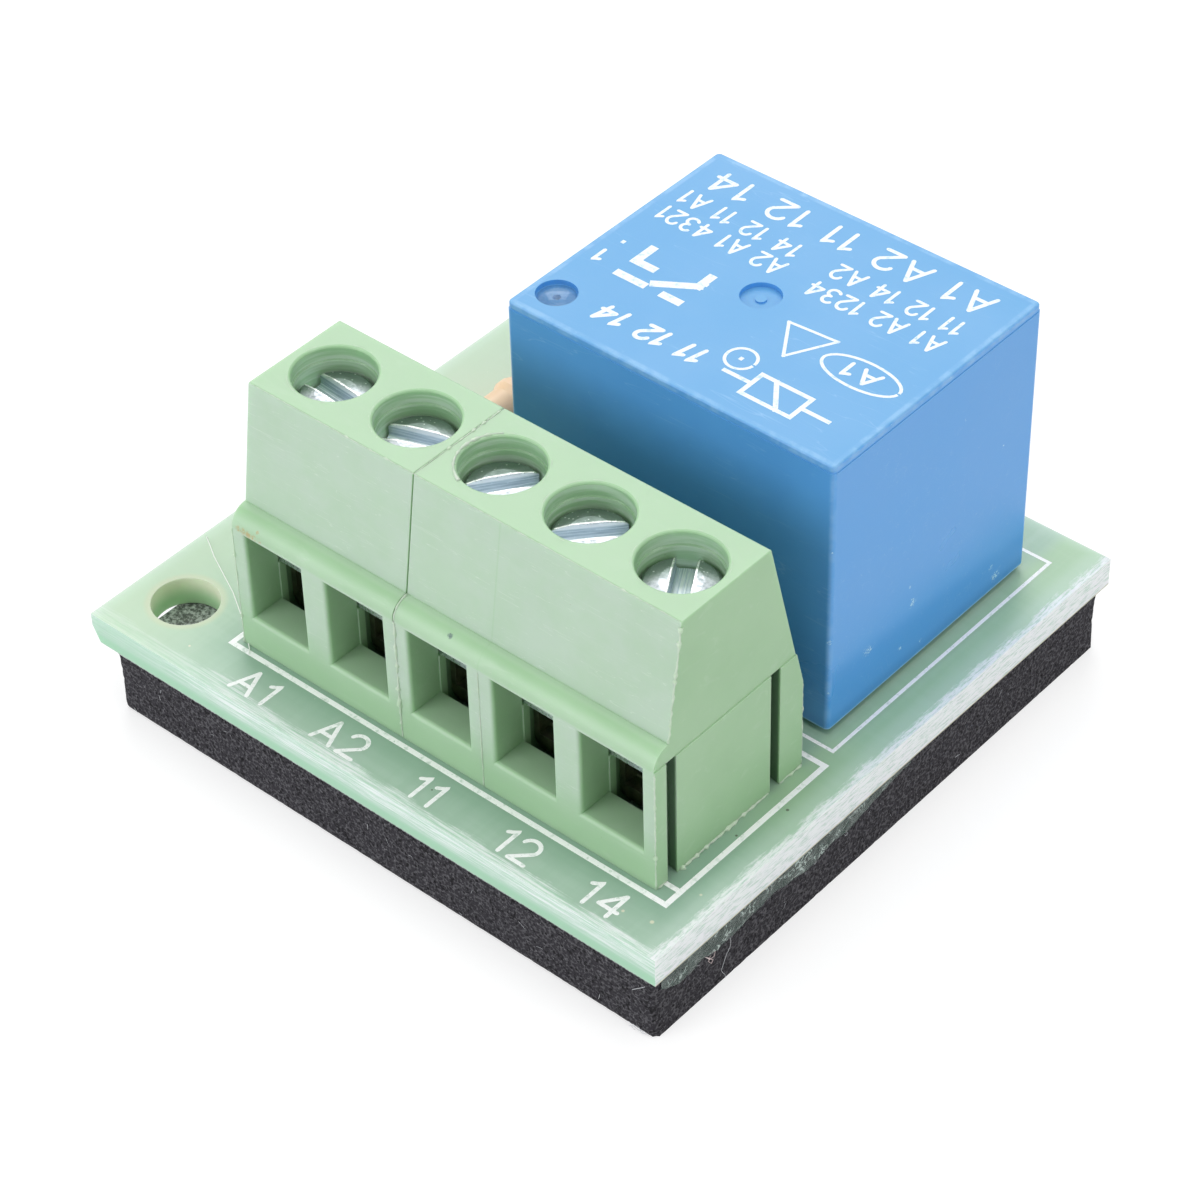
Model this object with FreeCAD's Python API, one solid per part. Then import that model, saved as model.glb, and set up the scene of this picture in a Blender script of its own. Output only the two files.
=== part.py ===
import FreeCAD, Part
import math
import os
from FreeCAD import Vector

# Relay module board, in millimetres: +Z up, X along the row of terminals, Y from their front to the back.
# The origin is under the middle of the board, at the level of the foam pad's underside.

# Board, copper and backing
board_length = 35.2
board_width = 34.0
board_thickness = 1.6
board_corner_chip = 0.45
copper_thickness = 0.07
film_thickness = 0.12
foam_thickness = 3.6
foam_inset_left = 1.3
foam_inset_right = 0.2
foam_inset_front = 0.1
foam_inset_back = 0.4
foam_corner_radius = 0.3
foam_side_hollow = 0.05
hole_diameter = 3.4
hole_from_left = 2.9
hole_from_front = 3.5

# Leads, pads and solder
lead_hole_clearance = 0.15
lead_end_below_board = 1.5
solder_height = 1.15
solder_foot_height = 0.12
solder_clearance = 0.2
power_pad_diameter = 2.5
small_pad_diameter = 1.9
track_width = 1.6

# Screw terminal block, in ways of equal pitch
way_pitch = 5.08
first_block_ways = 2
second_block_ways = 3
block_from_left = 7.13
block_from_front = 3.26
block_depth = 10.2
block_height = 14.4
block_top_depth = 5.95
front_lean = 0.95
ledge_depth = 1.0
ledge_height = 7.1
ledge_radius = 1.0
rear_wall_height = 5.2
side_relief = 0.06
edge_fillet = 0.12
end_fillet = 0.05

# Wire entries and the chambers behind them
entry_width = 3.5
entry_height = 5.1
entry_sill = 1.95
entry_depth = 1.9
mouth_width = 3.34
mouth_lip = 0.4
mouth_drop = 0.9
entry_edge_radius = 0.22
chamber_width = 3.8
chamber_depth = 4.8
chamber_height = 9.2
leg_slot_depth = 0.85

# Dovetail that locks one moulding to the next
dovetail_first_from_front = 1.11
dovetail_pitch = 7.13
dovetail_neck = 0.66
dovetail_root = 0.88
dovetail_depth = 0.58
dovetail_clearance = 0.05

# Clamp screws and their holes
screw_axis_from_front = 4.9
screw_hole_diameter = 4.0
screw_hole_rim = 0.72
screw_hole_step = 0.07
screw_hole_lip = 0.1
screw_hole_draft = 0.08
screw_head_diameter = 3.58
screw_head_height = 1.85
screw_head_dome = 0.16
screw_head_depth = 1.2
screw_shank_diameter = 2.94
screw_slot_width = 1.02
screw_slot_depth = 0.75
screw_slot_round = 0.22
screw_running_clearance = 0.08
screw_slot_angles = [175, 19, 54, 48, 121]

# Clamp cages, which the screws lift
cage_width = 3.7
cage_depth = 4.3
cage_floor = 0.8
cage_window = 3.1
cage_side_wall = 0.3
cage_nut_height = 1.8
cage_corner_radius = 0.5
cage_grip_depth = 0.1
cage_grip_pitch = 0.7
cage_grip_count = 5

# Contact strips, which end in the solder pins
strip_thickness = 0.6
strip_width = 2.5
strip_height = 4.2
strip_bend_radius = 0.45
strip_clearance = 0.1
pin_width = 0.9

# Relay cover and base
relay_length = 18.9
relay_width = 15.2
relay_height = 15.5
relay_from_left = 13.39
relay_from_front = 15.66
relay_standoff = 0.35
cover_wall = 0.9
cover_headroom = 0.68
cover_top_radius = 0.1
cover_corner_radius = 0.25
cover_rim_step = 0.03
cover_rim_height = 0.4
cover_dimple_diameter = 2.0
cover_dimple_depth = 0.25
cover_gate_diameter = 0.55
cover_gate_height = 0.08
cover_gate_off_centre = 0.72
cover_vent_from_left = 1.4
cover_vent_from_front = 1.9
cover_vent_diameter = 0.4
base_thickness = 1.6
base_clearance = 0.1
base_foot_size = 1.6

# Relay pins, measured from the common pin
common_pin_from_left = 2.6
coil_pin_step = 2.0
contact_pin_step = 14.2
side_pin_offset = 6.0
relay_pin_width = 0.9
relay_pin_thickness = 0.5
coil_pin_diameter = 0.6

# Magnet and coil
yoke_thickness = 1.2
yoke_width = 7.0
yoke_from_left = 1.95
yoke_bend_radius = 0.3
core_from_left = 7.9
core_diameter = 3.0
pole_diameter = 5.2
pole_thickness = 0.6
bobbin_flange = 8.9
bobbin_flange_thickness = 0.7
bobbin_tube_wall = 0.5
bobbin_corner_radius = 0.8
bobbin_core_clearance = 0.05
winding_diameter = 8.2

# Armature, spring and contacts
armature_thickness = 1.1
armature_width = 6.6
armature_length = 9.4
armature_seat_gap = 0.04
armature_open_angle = 2.6
leaf_thickness = 0.25
leaf_width = 5.4
leaf_tip_width = 3.0
leaf_end_margin = 0.1
leaf_foot_length = 4.2
leaf_bend_radius = 0.4
rivet_diameter = 1.2
rivet_head_height = 0.3
contact_diameter = 2.2
contact_height = 0.42
contact_from_left = 15.0
contact_touch_gap = 0.05
contact_plate_thickness = 0.5
contact_plate_gap = 0.4
contact_plate_root = 1.2

# Small leaded parts beside the relay
resistor_from_left = 5.75
resistor_from_front = 21.35
resistor_length = 6.4
resistor_diameter = 2.2
resistor_waist_diameter = 1.85
diode_from_left = 9.6
diode_length = 5.2
diode_diameter = 2.7
axial_lead_pitch = 10.16
axial_lead_diameter = 0.6
axial_body_gap = 0.15
led_from_left = 7.7
led_from_front = 30.0
led_diameter = 3.0
led_flange_diameter = 3.8
led_flange_height = 1.0
led_height = 5.3
led_lead_pitch = 2.54
led_lead_width = 0.5
led_standoff = 0.4

# Levels and places that follow from the sizes above
film_top = foam_thickness + film_thickness
board_bottom = film_top + copper_thickness
board_top = board_bottom + board_thickness
left_edge = -board_length / 2
front_edge = -board_width / 2
block_left = left_edge + block_from_left
block_front = front_edge + block_from_front
ways = first_block_ways + second_block_ways
screw_y = block_front + screw_axis_from_front
chamber_back = block_front + entry_depth + mouth_lip + chamber_depth
strip_leg_y = chamber_back + strip_clearance + strip_thickness / 2
relay_left = left_edge + relay_from_left
relay_front = front_edge + relay_from_front
relay_y = relay_front + relay_width / 2
relay_bottom = board_top + relay_standoff
common_pin_x = relay_left + common_pin_from_left
coil_pin_x = common_pin_x + coil_pin_step
contact_pin_x = common_pin_x + contact_pin_step
resistor_x = left_edge + resistor_from_left
resistor_y = front_edge + resistor_from_front
diode_x = left_edge + diode_from_left
led_x = left_edge + led_from_left
led_y = front_edge + led_from_front

# Heights over the coil's pole: armature, leaf, moving contact, then the closed contact under the roof
contact_arm = contact_from_left - yoke_from_left + contact_diameter / 2
opening_lift = contact_arm * math.sin(math.radians(armature_open_angle))
leaf_top_over_pole = armature_seat_gap + armature_thickness + leaf_thickness
closed_face_over_pole = leaf_top_over_pole + contact_height + opening_lift + contact_touch_gap
stack_over_pole = closed_face_over_pole + contact_height + contact_plate_thickness
yoke_height = relay_height - cover_wall - cover_headroom - stack_over_pole


def save(shape, name):
    if len(shape.Solids) == 1:
        shape = shape.Solids[0]
    shape.exportStep("parts/" + name + ".step")


def block(x0, x1, y0, y1, z0, z1):
    return Part.makeBox(x1 - x0, y1 - y0, z1 - z0, Vector(x0, y0, z0))


def rod(x, y, z0, z1, radius):
    return Part.makeCylinder(radius, z1 - z0, Vector(x, y, z0))


# Middle of a way, counted from 0 at the left
def way_x(way):
    return block_left + way_pitch * (way + 0.5)


# Solid of revolution about a vertical axis, from (radius, height) points
def spun(profile, x=0.0, y=0.0):
    wire = Part.makePolygon([Vector(r, 0, z) for r, z in profile + profile[:1]])
    solid = Part.Face(wire).revolve(Vector(0, 0, 0), Vector(0, 0, 1), 360)
    solid.translate(Vector(x, y, 0))
    return solid


# Closed rectangle with rounded corners at height z
def rounded_outline(x0, x1, y0, y1, radius, z):
    middle = [Vector((x0 + x1) / 2, y0, z), Vector(x1, (y0 + y1) / 2, z),
              Vector((x0 + x1) / 2, y1, z), Vector(x0, (y0 + y1) / 2, z)]
    corner = [Vector(x1, y0, z), Vector(x1, y1, z), Vector(x0, y1, z), Vector(x0, y0, z)]
    edges = []
    for k in range(4):
        before = (middle[k] - corner[k]).normalize() * radius
        after = (middle[(k + 1) % 4] - corner[k]).normalize() * radius
        bulge = (before + after) * (1 - math.sqrt(0.5))
        edges.append(Part.Arc(corner[k] + before, corner[k] + bulge, corner[k] + after).toShape())
    loop = []
    for k in range(4):
        start = edges[k - 1].Vertexes[-1].Point
        loop += [Part.makeLine(start, edges[k].Vertexes[0].Point), edges[k]]
    return Part.Wire(loop)


def rounded_block(x0, x1, y0, y1, z0, z1, radius):
    outline = rounded_outline(x0, x1, y0, y1, radius, z0)
    return Part.Face(outline).extrude(Vector(0, 0, z1 - z0))


def upright_edges(shape):
    return [e for e in shape.Edges if abs(e.tangentAt(e.FirstParameter).z) > 0.99]


# Round wire along straight runs joined by arcs of one bend radius
def bent_lead(points, radius, bend):
    edges = []
    start = points[0]
    for before, corner, after in zip(points, points[1:], points[2:]):
        into = (before - corner).normalize()
        out = (after - corner).normalize()
        half = into.getAngle(out) / 2
        back = bend / math.tan(half)
        centre = corner + (into + out).normalize() * (bend / math.sin(half))
        arc_start = corner + into * back
        arc_end = corner + out * back
        arc_middle = centre + (corner - centre).normalize() * bend
        edges.append(Part.makeLine(start, arc_start))
        edges.append(Part.Arc(arc_start, arc_middle, arc_end).toShape())
        start = arc_end
    edges.append(Part.makeLine(start, points[-1]))
    path = Part.Wire(edges)
    section = Part.Wire(Part.makeCircle(radius, points[0], points[1] - points[0]))
    return path.makePipe(Part.Face(section))


# Where every lead goes through the board: place, hole width and pad width
terminal_pins = [(way_x(way), strip_leg_y) for way in range(ways)]
coil_pins = [(coil_pin_x, relay_y + side * side_pin_offset) for side in (-1, 1)]
contact_pins = [(contact_pin_x, relay_y + side * side_pin_offset) for side in (-1, 1)]
common_pin = (common_pin_x, relay_y)
resistor_pins = [(resistor_x, resistor_y + side * axial_lead_pitch / 2) for side in (-1, 1)]
diode_pins = [(diode_x, resistor_y + side * axial_lead_pitch / 2) for side in (-1, 1)]
led_pins = [(led_x + side * led_lead_pitch / 2, led_y) for side in (-1, 1)]
pin_span = math.hypot(pin_width, strip_thickness)
relay_pin_span = math.hypot(relay_pin_width, relay_pin_thickness)
led_lead_span = math.hypot(led_lead_width, led_lead_width)
leads = [(x, y, pin_span, power_pad_diameter) for x, y in terminal_pins]
leads += [(x, y, relay_pin_span, power_pad_diameter) for x, y in contact_pins + [common_pin]]
leads += [(x, y, coil_pin_diameter, small_pad_diameter) for x, y in coil_pins]
leads += [(x, y, axial_lead_diameter, small_pad_diameter) for x, y in resistor_pins + diode_pins]
leads += [(x, y, led_lead_span, small_pad_diameter) for x, y in led_pins]
lead_tip = board_bottom - lead_end_below_board
hole_x = left_edge + hole_from_left
hole_y = front_edge + hole_from_front


# Circuit board: plate, mounting hole, lead holes and the chipped lower corner
def circuit_board():
    plate = block(left_edge, -left_edge, front_edge, -front_edge, board_bottom, board_top)
    plate = plate.cut(rod(hole_x, hole_y, board_bottom, board_top, hole_diameter / 2))
    for x, y, span, pad in leads:
        plate = plate.cut(rod(x, y, board_bottom, board_top, (span + lead_hole_clearance) / 2))
    corner = Vector(left_edge, front_edge, board_bottom)
    chip_points = [corner + Vector(board_corner_chip, 0, 0), corner + Vector(0, board_corner_chip, 0),
                   corner + Vector(0, 0, 2 * board_corner_chip)]
    chip = Part.Face(Part.makePolygon(chip_points + chip_points[:1])).extrude(Vector(-1, -1, -1))
    return plate.cut(chip)


# Copper tracks on the underside, one strip of round-ended runs per circuit
def copper_tracks():
    first, second, third, fourth, fifth = terminal_pins
    resistor_near, resistor_far = resistor_pins
    diode_near, diode_far = diode_pins
    led_left, led_right = led_pins
    coil_near, coil_far = coil_pins
    open_pin, closed_pin = contact_pins
    edge_x = left_edge + foam_inset_left + track_width
    back_y = led_y + power_pad_diameter
    return_x = relay_left - track_width / 2
    common_x = third[0] + track_width
    routes = [
        [first, diode_near, resistor_near, (edge_x, resistor_near[1]), (edge_x, back_y),
         (coil_far[0], back_y), coil_far],
        [second, coil_near],
        [second, (return_x, diode_near[1]), (return_x, diode_far[1]), diode_far, led_right],
        [resistor_far, led_left],
        [third, (common_x, coil_near[1]), (common_x, common_pin[1]), common_pin],
        [fourth, (fourth[0], closed_pin[1]), closed_pin],
        [fifth, open_pin],
    ]
    copper_bottom = board_bottom - copper_thickness
    tracks = []
    for route in routes:
        for (x0, y0), (x1, y1) in zip(route, route[1:]):
            length = math.hypot(x1 - x0, y1 - y0)
            run = block(0, length, -track_width / 2, track_width / 2, 0, copper_thickness)
            run.rotate(Vector(0, 0, 0), Vector(0, 0, 1), math.degrees(math.atan2(y1 - y0, x1 - x0)))
            run.translate(Vector(x0, y0, copper_bottom))
            tracks += [run, rod(x1, y1, copper_bottom, board_bottom, track_width / 2)]
    for x, y, span, pad in leads:
        tracks.append(rod(x, y, copper_bottom, board_bottom, pad / 2))
    sheet = tracks[0].multiFuse(tracks[1:]).removeSplitter()
    for x, y, span, pad in leads:
        sheet = sheet.cut(rod(x, y, copper_bottom, board_bottom, (span + lead_hole_clearance) / 2))
    return sheet


# Solder joints: a cone that hollows in towards each lead
def solder_cone(x, y, span, pad):
    top = board_bottom - copper_thickness
    foot = pad / 2
    neck = span / 2 + solder_foot_height
    waist = neck + (foot - neck) * 0.3
    tip = top - solder_height
    waist_z = top - solder_height * 0.45
    foot_z = top - solder_foot_height
    profile = [(0, top), (foot, top), (foot, foot_z), (waist, waist_z), (neck, tip), (0, tip)]
    return spun(profile, x, y)


def solder_joints(lead_shapes):
    solids = [solid for shape in lead_shapes for solid in shape.Solids]
    return Part.makeCompound([solder_cone(*lead).cut(solids) for lead in leads])


# Adhesive film and foam pad, pierced and hollowed where the solder stands proud
def backing_outline(z, shrink=0.0):
    return rounded_outline(left_edge + foam_inset_left + shrink, -left_edge - foam_inset_right - shrink,
                           front_edge + foam_inset_front + shrink, -front_edge - foam_inset_back - shrink,
                           foam_corner_radius, z)


def adhesive_film():
    film = Part.Face(backing_outline(foam_thickness)).extrude(Vector(0, 0, film_thickness))
    for x, y, span, pad in leads:
        film = film.cut(rod(x, y, foam_thickness, film_top, pad / 2 + solder_clearance))
    return film


def foam_pad():
    levels = [(0.0, 0.0), (0.5, foam_side_hollow), (1.0, 0.0)]
    foam = Part.makeLoft([backing_outline(foam_thickness * h, shrink) for h, shrink in levels], True)
    recess_floor = lead_tip - solder_clearance
    for x, y, span, pad in leads:
        foam = foam.cut(rod(x, y, recess_floor, foam_thickness, pad / 2 + solder_clearance))
    return foam


# Terminal housing: one moulding of several ways
def housing_body(left, count):
    lean_y = block_front + ledge_depth + front_lean
    rear = block_front + block_depth
    top = board_top + block_height
    shelf = board_top + ledge_height
    arc_start = Vector(left, block_front, shelf)
    arc_end = Vector(left, block_front + ledge_depth, shelf + ledge_radius)
    turn = math.sqrt(0.5)
    bulge = Vector(left, block_front + ledge_depth * (1 - turn), shelf + ledge_radius * turn)
    corners = [arc_end, Vector(left, lean_y, top), Vector(left, lean_y + block_top_depth, top),
               Vector(left, rear, board_top + rear_wall_height), Vector(left, rear, board_top),
               Vector(left, block_front, board_top), arc_start]
    edges = [Part.makeLine(a, b) for a, b in zip(corners, corners[1:])]
    edges.append(Part.Arc(arc_start, bulge, arc_end).toShape())
    profile = Part.Face(Part.Wire(edges))
    return profile.extrude(Vector(way_pitch * count, 0, 0))


# Dovetail section standing out towards -X from the plane x, smaller by the play on every side
def dovetail(x, y, z0, z1, play):
    neck = dovetail_neck / 2 - play
    root = dovetail_root / 2 - play
    reach = dovetail_depth - play
    corners = [Vector(x, y - neck, z0), Vector(x, y + neck, z0), Vector(x - reach, y + root, z0),
               Vector(x - reach, y - root, z0)]
    return Part.Face(Part.makePolygon(corners + corners[:1])).extrude(Vector(0, 0, z1 - z0))


# Everything that is open in one way: entry, mouth, chamber, leg slot and screw hole
def way_cavity(x):
    sill = board_top + entry_sill
    entry_top = sill + entry_height
    mouth_y = block_front + entry_depth
    chamber_y = mouth_y + mouth_lip
    top = board_top + block_height
    head_seat = top - screw_head_depth - screw_head_height
    strip_z = board_top + strip_height
    entry = block(x - entry_width / 2, x + entry_width / 2, block_front, mouth_y, sill, entry_top)
    mouth = block(x - mouth_width / 2, x + mouth_width / 2, mouth_y, chamber_y,
                  sill - mouth_drop, entry_top)
    tab = mouth_width / 2 + strip_clearance + mouth_lip / 4
    notch = block(x - tab, x + tab, mouth_y, chamber_y, strip_z - strip_clearance / 2,
                  strip_z + strip_thickness + strip_clearance / 2)
    chamber = block(x - chamber_width / 2, x + chamber_width / 2, chamber_y, chamber_back,
                    board_top, board_top + chamber_height)
    half_slot = strip_width / 2 + strip_clearance
    leg_slot = block(x - half_slot, x + half_slot, chamber_back, chamber_back + leg_slot_depth,
                     board_top, strip_z + strip_thickness + strip_clearance)
    rim = screw_hole_diameter / 2
    bore = screw_head_diameter / 2 + screw_running_clearance
    shank = screw_shank_diameter / 2 + screw_running_clearance
    hole = spun([(0, top), (rim + screw_hole_lip, top), (rim + screw_hole_lip / 3, top - screw_hole_lip / 3),
                 (rim, top - screw_hole_lip), (rim, top - screw_hole_rim),
                 (rim - screw_hole_step, top - screw_hole_rim - screw_hole_step),
                 (bore + screw_hole_draft, top - screw_head_depth), (bore, head_seat), (shank, head_seat),
                 (shank, board_top + chamber_height), (0, board_top + chamber_height)], x, screw_y)
    return [entry, mouth, notch, chamber, leg_slot, hole]


# Straight edges at the level of the roof that run along one axis
def roof_edges(body, top, axis):
    level = [e for e in body.Edges if min(v.Z for v in e.Vertexes) > top - 0.01]
    return [e for e in level if abs(getattr(e.tangentAt(e.FirstParameter), axis)) > 0.99]


# Outer edges of the wire entries, but for the upper one, which is sharp
def entry_edges(body):
    sill = board_top + entry_sill
    entry_top = sill + entry_height
    found = []
    for edge in body.Edges:
        ends = edge.Vertexes
        in_front = all(abs(v.Y - block_front) < 0.01 for v in ends)
        in_height = all(sill - 0.01 < v.Z < entry_top + 0.01 for v in ends)
        if in_front and in_height and any(v.Z < entry_top - 0.01 for v in ends):
            found.append(edge)
    return found


def terminal_housing(first_way, count):
    left = block_left + way_pitch * first_way
    right = left + way_pitch * count
    body = housing_body(left, count)
    top = board_top + block_height
    shelf = board_top + ledge_height
    relief = block(right - side_relief, right, block_front, block_front + block_depth, shelf, top)
    body = body.cut(relief)
    body = body.makeFillet(edge_fillet, roof_edges(body, top, "x"))
    body = body.makeFillet(end_fillet, roof_edges(body, top, "y"))
    socket_face = right
    rib_face = left
    for k in range(2):
        y = block_front + dovetail_first_from_front + k * dovetail_pitch
        body = body.cut(dovetail(socket_face, y, board_top, shelf, 0.0))
        rib = dovetail(rib_face, y, board_top + dovetail_clearance, shelf - dovetail_clearance,
                       dovetail_clearance)
        body = body.fuse(rib)
    for way in range(first_way, first_way + count):
        body = body.cut(way_cavity(way_x(way)))
    body = body.removeSplitter()
    return body.makeFillet(entry_edge_radius, entry_edges(body)).removeSplitter()


# Clamp screw: slotted cheese head with a low dome, and a plain core for its thread
def clamp_screw(way):
    head_rim = board_top + block_height - screw_head_depth
    seat = head_rim - screw_head_height
    tip = board_top + strip_height + strip_thickness + 2 * strip_clearance
    head = screw_head_diameter / 2
    core = screw_shank_diameter / 2
    chamfer = core / 5
    edge = head / 12
    shoulder = (head * 0.55, head_rim + screw_head_dome * 0.8)
    crown = (0, head_rim + screw_head_dome)
    screw = spun([(0, tip), (core - chamfer, tip), (core, tip + chamfer), (core, seat), (head, seat),
                  (head, head_rim - edge), (head - edge, head_rim), shoulder, crown])
    floor = head_rim - screw_slot_depth
    slot = block(-head, head, -screw_slot_width / 2, screw_slot_width / 2, floor, head_rim + screw_head_dome)
    floor_edges = [e for e in slot.Edges if max(v.Z for v in e.Vertexes) < floor + 0.01 and e.Length > head]
    slot = slot.makeFillet(screw_slot_round, floor_edges)
    slot.rotate(Vector(0, 0, 0), Vector(0, 0, 1), screw_slot_angles[way % len(screw_slot_angles)])
    screw = screw.cut(slot)
    screw.translate(Vector(way_x(way), screw_y, 0))
    return screw


# Clamp cage: a bent box with a window for wire and strip, a tapped roof and grip lines on its floor
def clamp_cage(way):
    x = way_x(way)
    floor_top = board_top + entry_sill - strip_clearance / 2
    z0 = floor_top - cage_floor
    z1 = floor_top + cage_window + cage_nut_height
    half = cage_width / 2
    y0 = screw_y - cage_depth / 2
    y1 = screw_y + cage_depth / 2
    shell = block(x - half, x + half, y0, y1, z0, z1)
    long_edges = [e for e in shell.Edges if abs(e.tangentAt(e.FirstParameter).y) > 0.99]
    shell = shell.makeFillet(cage_corner_radius, long_edges)
    inner = half - cage_side_wall
    shell = shell.cut(block(x - inner, x + inner, y0, y1, floor_top, floor_top + cage_window))
    thread = screw_shank_diameter / 2 + screw_running_clearance
    shell = shell.cut(rod(x, screw_y, floor_top + cage_window, z1, thread))
    for k in range(cage_grip_count):
        y = screw_y + (k - (cage_grip_count - 1) / 2) * cage_grip_pitch
        start = Vector(x - inner, y, floor_top)
        groove = Part.makeCylinder(cage_grip_depth, 2 * inner, start, Vector(1, 0, 0))
        shell = shell.cut(groove)
    return shell


# Contact strip: tab in the mouth, tongue through the cage, bend, leg and solder pin, from one sheet
def terminal_contact(way):
    x = way_x(way)
    under = board_top + strip_height
    over = under + strip_thickness
    front = block_front + entry_depth + strip_clearance
    back = strip_leg_y + strip_thickness / 2
    inner_face = back - strip_thickness
    outer_bend = strip_bend_radius + strip_thickness
    centre_y = back - outer_bend
    centre_z = over - outer_bend
    turn = math.sqrt(0.5)

    def at(y, z):
        return Vector(x - strip_width / 2, y, z)

    outer = Part.Arc(at(centre_y, over), at(centre_y + outer_bend * turn, centre_z + outer_bend * turn),
                     at(back, centre_z)).toShape()
    inner = Part.Arc(at(inner_face, centre_z),
                     at(centre_y + strip_bend_radius * turn, centre_z + strip_bend_radius * turn),
                     at(centre_y, under)).toShape()
    sheet_edges = [Part.makeLine(at(front, over), at(centre_y, over)), outer,
                   Part.makeLine(at(back, centre_z), at(back, board_top)),
                   Part.makeLine(at(back, board_top), at(inner_face, board_top)),
                   Part.makeLine(at(inner_face, board_top), at(inner_face, centre_z)), inner,
                   Part.makeLine(at(centre_y, under), at(front, under)),
                   Part.makeLine(at(front, under), at(front, over))]
    strip = Part.Face(Part.Wire(sheet_edges)).extrude(Vector(strip_width, 0, 0))
    tab = mouth_width / 2 + mouth_lip / 4
    ears = block(x - tab, x + tab, front, front + mouth_lip - 2 * strip_clearance, under, over)
    pin = block(x - pin_width / 2, x + pin_width / 2, inner_face, back, lead_tip, board_top)
    tip_edges = [e for e in pin.Edges if max(v.Z for v in e.Vertexes) < lead_tip + 0.01]
    pin = pin.makeChamfer(pin_width / 6, tip_edges)
    return strip.fuse([ears, pin]).removeSplitter()


# Relay cover: drawn box with soft edges, a rim step, two dimples, a gate mark and a vent
relay_top = relay_bottom + relay_height
gate_x = relay_left + relay_length / 2 - cover_gate_off_centre
vent_x = relay_left + cover_vent_from_left
vent_y = relay_front + cover_vent_from_front


def relay_cover():
    right = relay_left + relay_length
    back = relay_front + relay_width
    step_z = relay_top - cover_rim_height
    lower = rounded_block(relay_left, right, relay_front, back, relay_bottom, step_z, cover_corner_radius)
    s = cover_rim_step
    upper = rounded_block(relay_left + s, right - s, relay_front + s, back - s, step_z, relay_top,
                          cover_corner_radius)
    rim = [e for e in upper.Edges if min(v.Z for v in e.Vertexes) > relay_top - 0.01]
    upper = upper.makeFillet(cover_top_radius, rim)
    cover = lower.fuse(upper)
    w = cover_wall
    roof = relay_top - w
    cover = cover.cut(block(relay_left + w, right - w, relay_front + w, back - w, relay_bottom, roof))
    dimple = cover_dimple_diameter / 2
    floor = relay_top - cover_dimple_depth
    gate_top = floor + cover_gate_height
    cover = cover.cut(rod(gate_x, relay_y, floor, relay_top, dimple))
    cover = cover.fuse(rod(gate_x, relay_y, floor, gate_top, cover_gate_diameter / 2))
    cover = cover.cut(rod(vent_x, vent_y, floor, relay_top, dimple))
    cover = cover.cut(rod(vent_x, vent_y, roof, relay_top, cover_vent_diameter / 2))
    return cover.removeSplitter()


# Glue drop that seals the vent: a low lens that fills the vent and part of its dimple
def vent_seal():
    floor = relay_top - cover_dimple_depth
    plug = rod(vent_x, vent_y, relay_top - cover_wall, floor, cover_vent_diameter / 2)
    rise = cover_dimple_depth * 0.8
    reach = cover_dimple_diameter / 2 - cover_rim_step * 2
    radius = (reach ** 2 + rise ** 2) / (2 * rise)
    ball = Part.makeSphere(radius, Vector(vent_x, vent_y, floor + rise - radius))
    keep = rod(vent_x, vent_y, floor, relay_top + rise, reach)
    return plug.fuse(ball.common(keep)).removeSplitter()


# Relay base: plate in the cover's mouth, with four feet and slots for the pins
def relay_base():
    gap = cover_wall + base_clearance
    x0, x1 = relay_left + gap, relay_left + relay_length - gap
    y0, y1 = relay_front + gap, relay_front + relay_width - gap
    base = block(x0, x1, y0, y1, relay_bottom, relay_bottom + base_thickness)
    size = base_foot_size
    for fx in (x0 + (x1 - x0) * 0.3, x1 - (x1 - x0) * 0.3 - size):
        for fy in (y0, y1 - size):
            base = base.fuse(block(fx, fx + size, fy, fy + size, board_top, relay_bottom))
    return base.removeSplitter()


# Magnet: bent yoke with a hole for the core, and a core with a pole disc
def magnet_yoke():
    x0 = relay_left + yoke_from_left
    z0 = relay_bottom + base_thickness
    x1 = relay_left + core_from_left + bobbin_flange / 2
    z1 = z0 + yoke_height - base_thickness
    half = yoke_width / 2
    outer = yoke_bend_radius + yoke_thickness
    leg = block(x0, x0 + yoke_thickness, relay_y - half, relay_y + half, z0, z1)
    foot = block(x0, x1, relay_y - half, relay_y + half, z0, z0 + yoke_thickness)
    inner_x, inner_z = x0 + yoke_thickness, z0 + yoke_thickness
    r = yoke_bend_radius
    web = block(inner_x, inner_x + r, relay_y - half, relay_y + half, inner_z, inner_z + r)
    web = web.cut(Part.makeCylinder(r, yoke_width, Vector(inner_x + r, relay_y - half, inner_z + r),
                                    Vector(0, 1, 0)))
    yoke = leg.fuse([foot, web]).removeSplitter()
    heel = [e for e in yoke.Edges if all(abs(v.X - x0) < 0.01 and abs(v.Z - z0) < 0.01 for v in e.Vertexes)]
    yoke = yoke.makeFillet(outer, heel)
    core_x = relay_left + core_from_left
    return yoke.cut(rod(core_x, relay_y, z0, z0 + yoke_thickness, core_diameter / 2))


pole_top = relay_bottom + yoke_height


def magnet_core():
    x = relay_left + core_from_left
    z0 = relay_bottom + base_thickness
    r = core_diameter / 2
    pole = pole_diameter / 2
    return spun([(0, z0), (r, z0), (r, pole_top - pole_thickness), (pole, pole_top - pole_thickness),
                 (pole, pole_top), (0, pole_top)], x, relay_y)


# Coil: bobbin with two flanges and ears for the coil pins, winding and pins
def coil_levels():
    low = relay_bottom + base_thickness + yoke_thickness
    high = pole_top - pole_thickness
    return low, low + bobbin_flange_thickness, high - bobbin_flange_thickness, high


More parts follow.
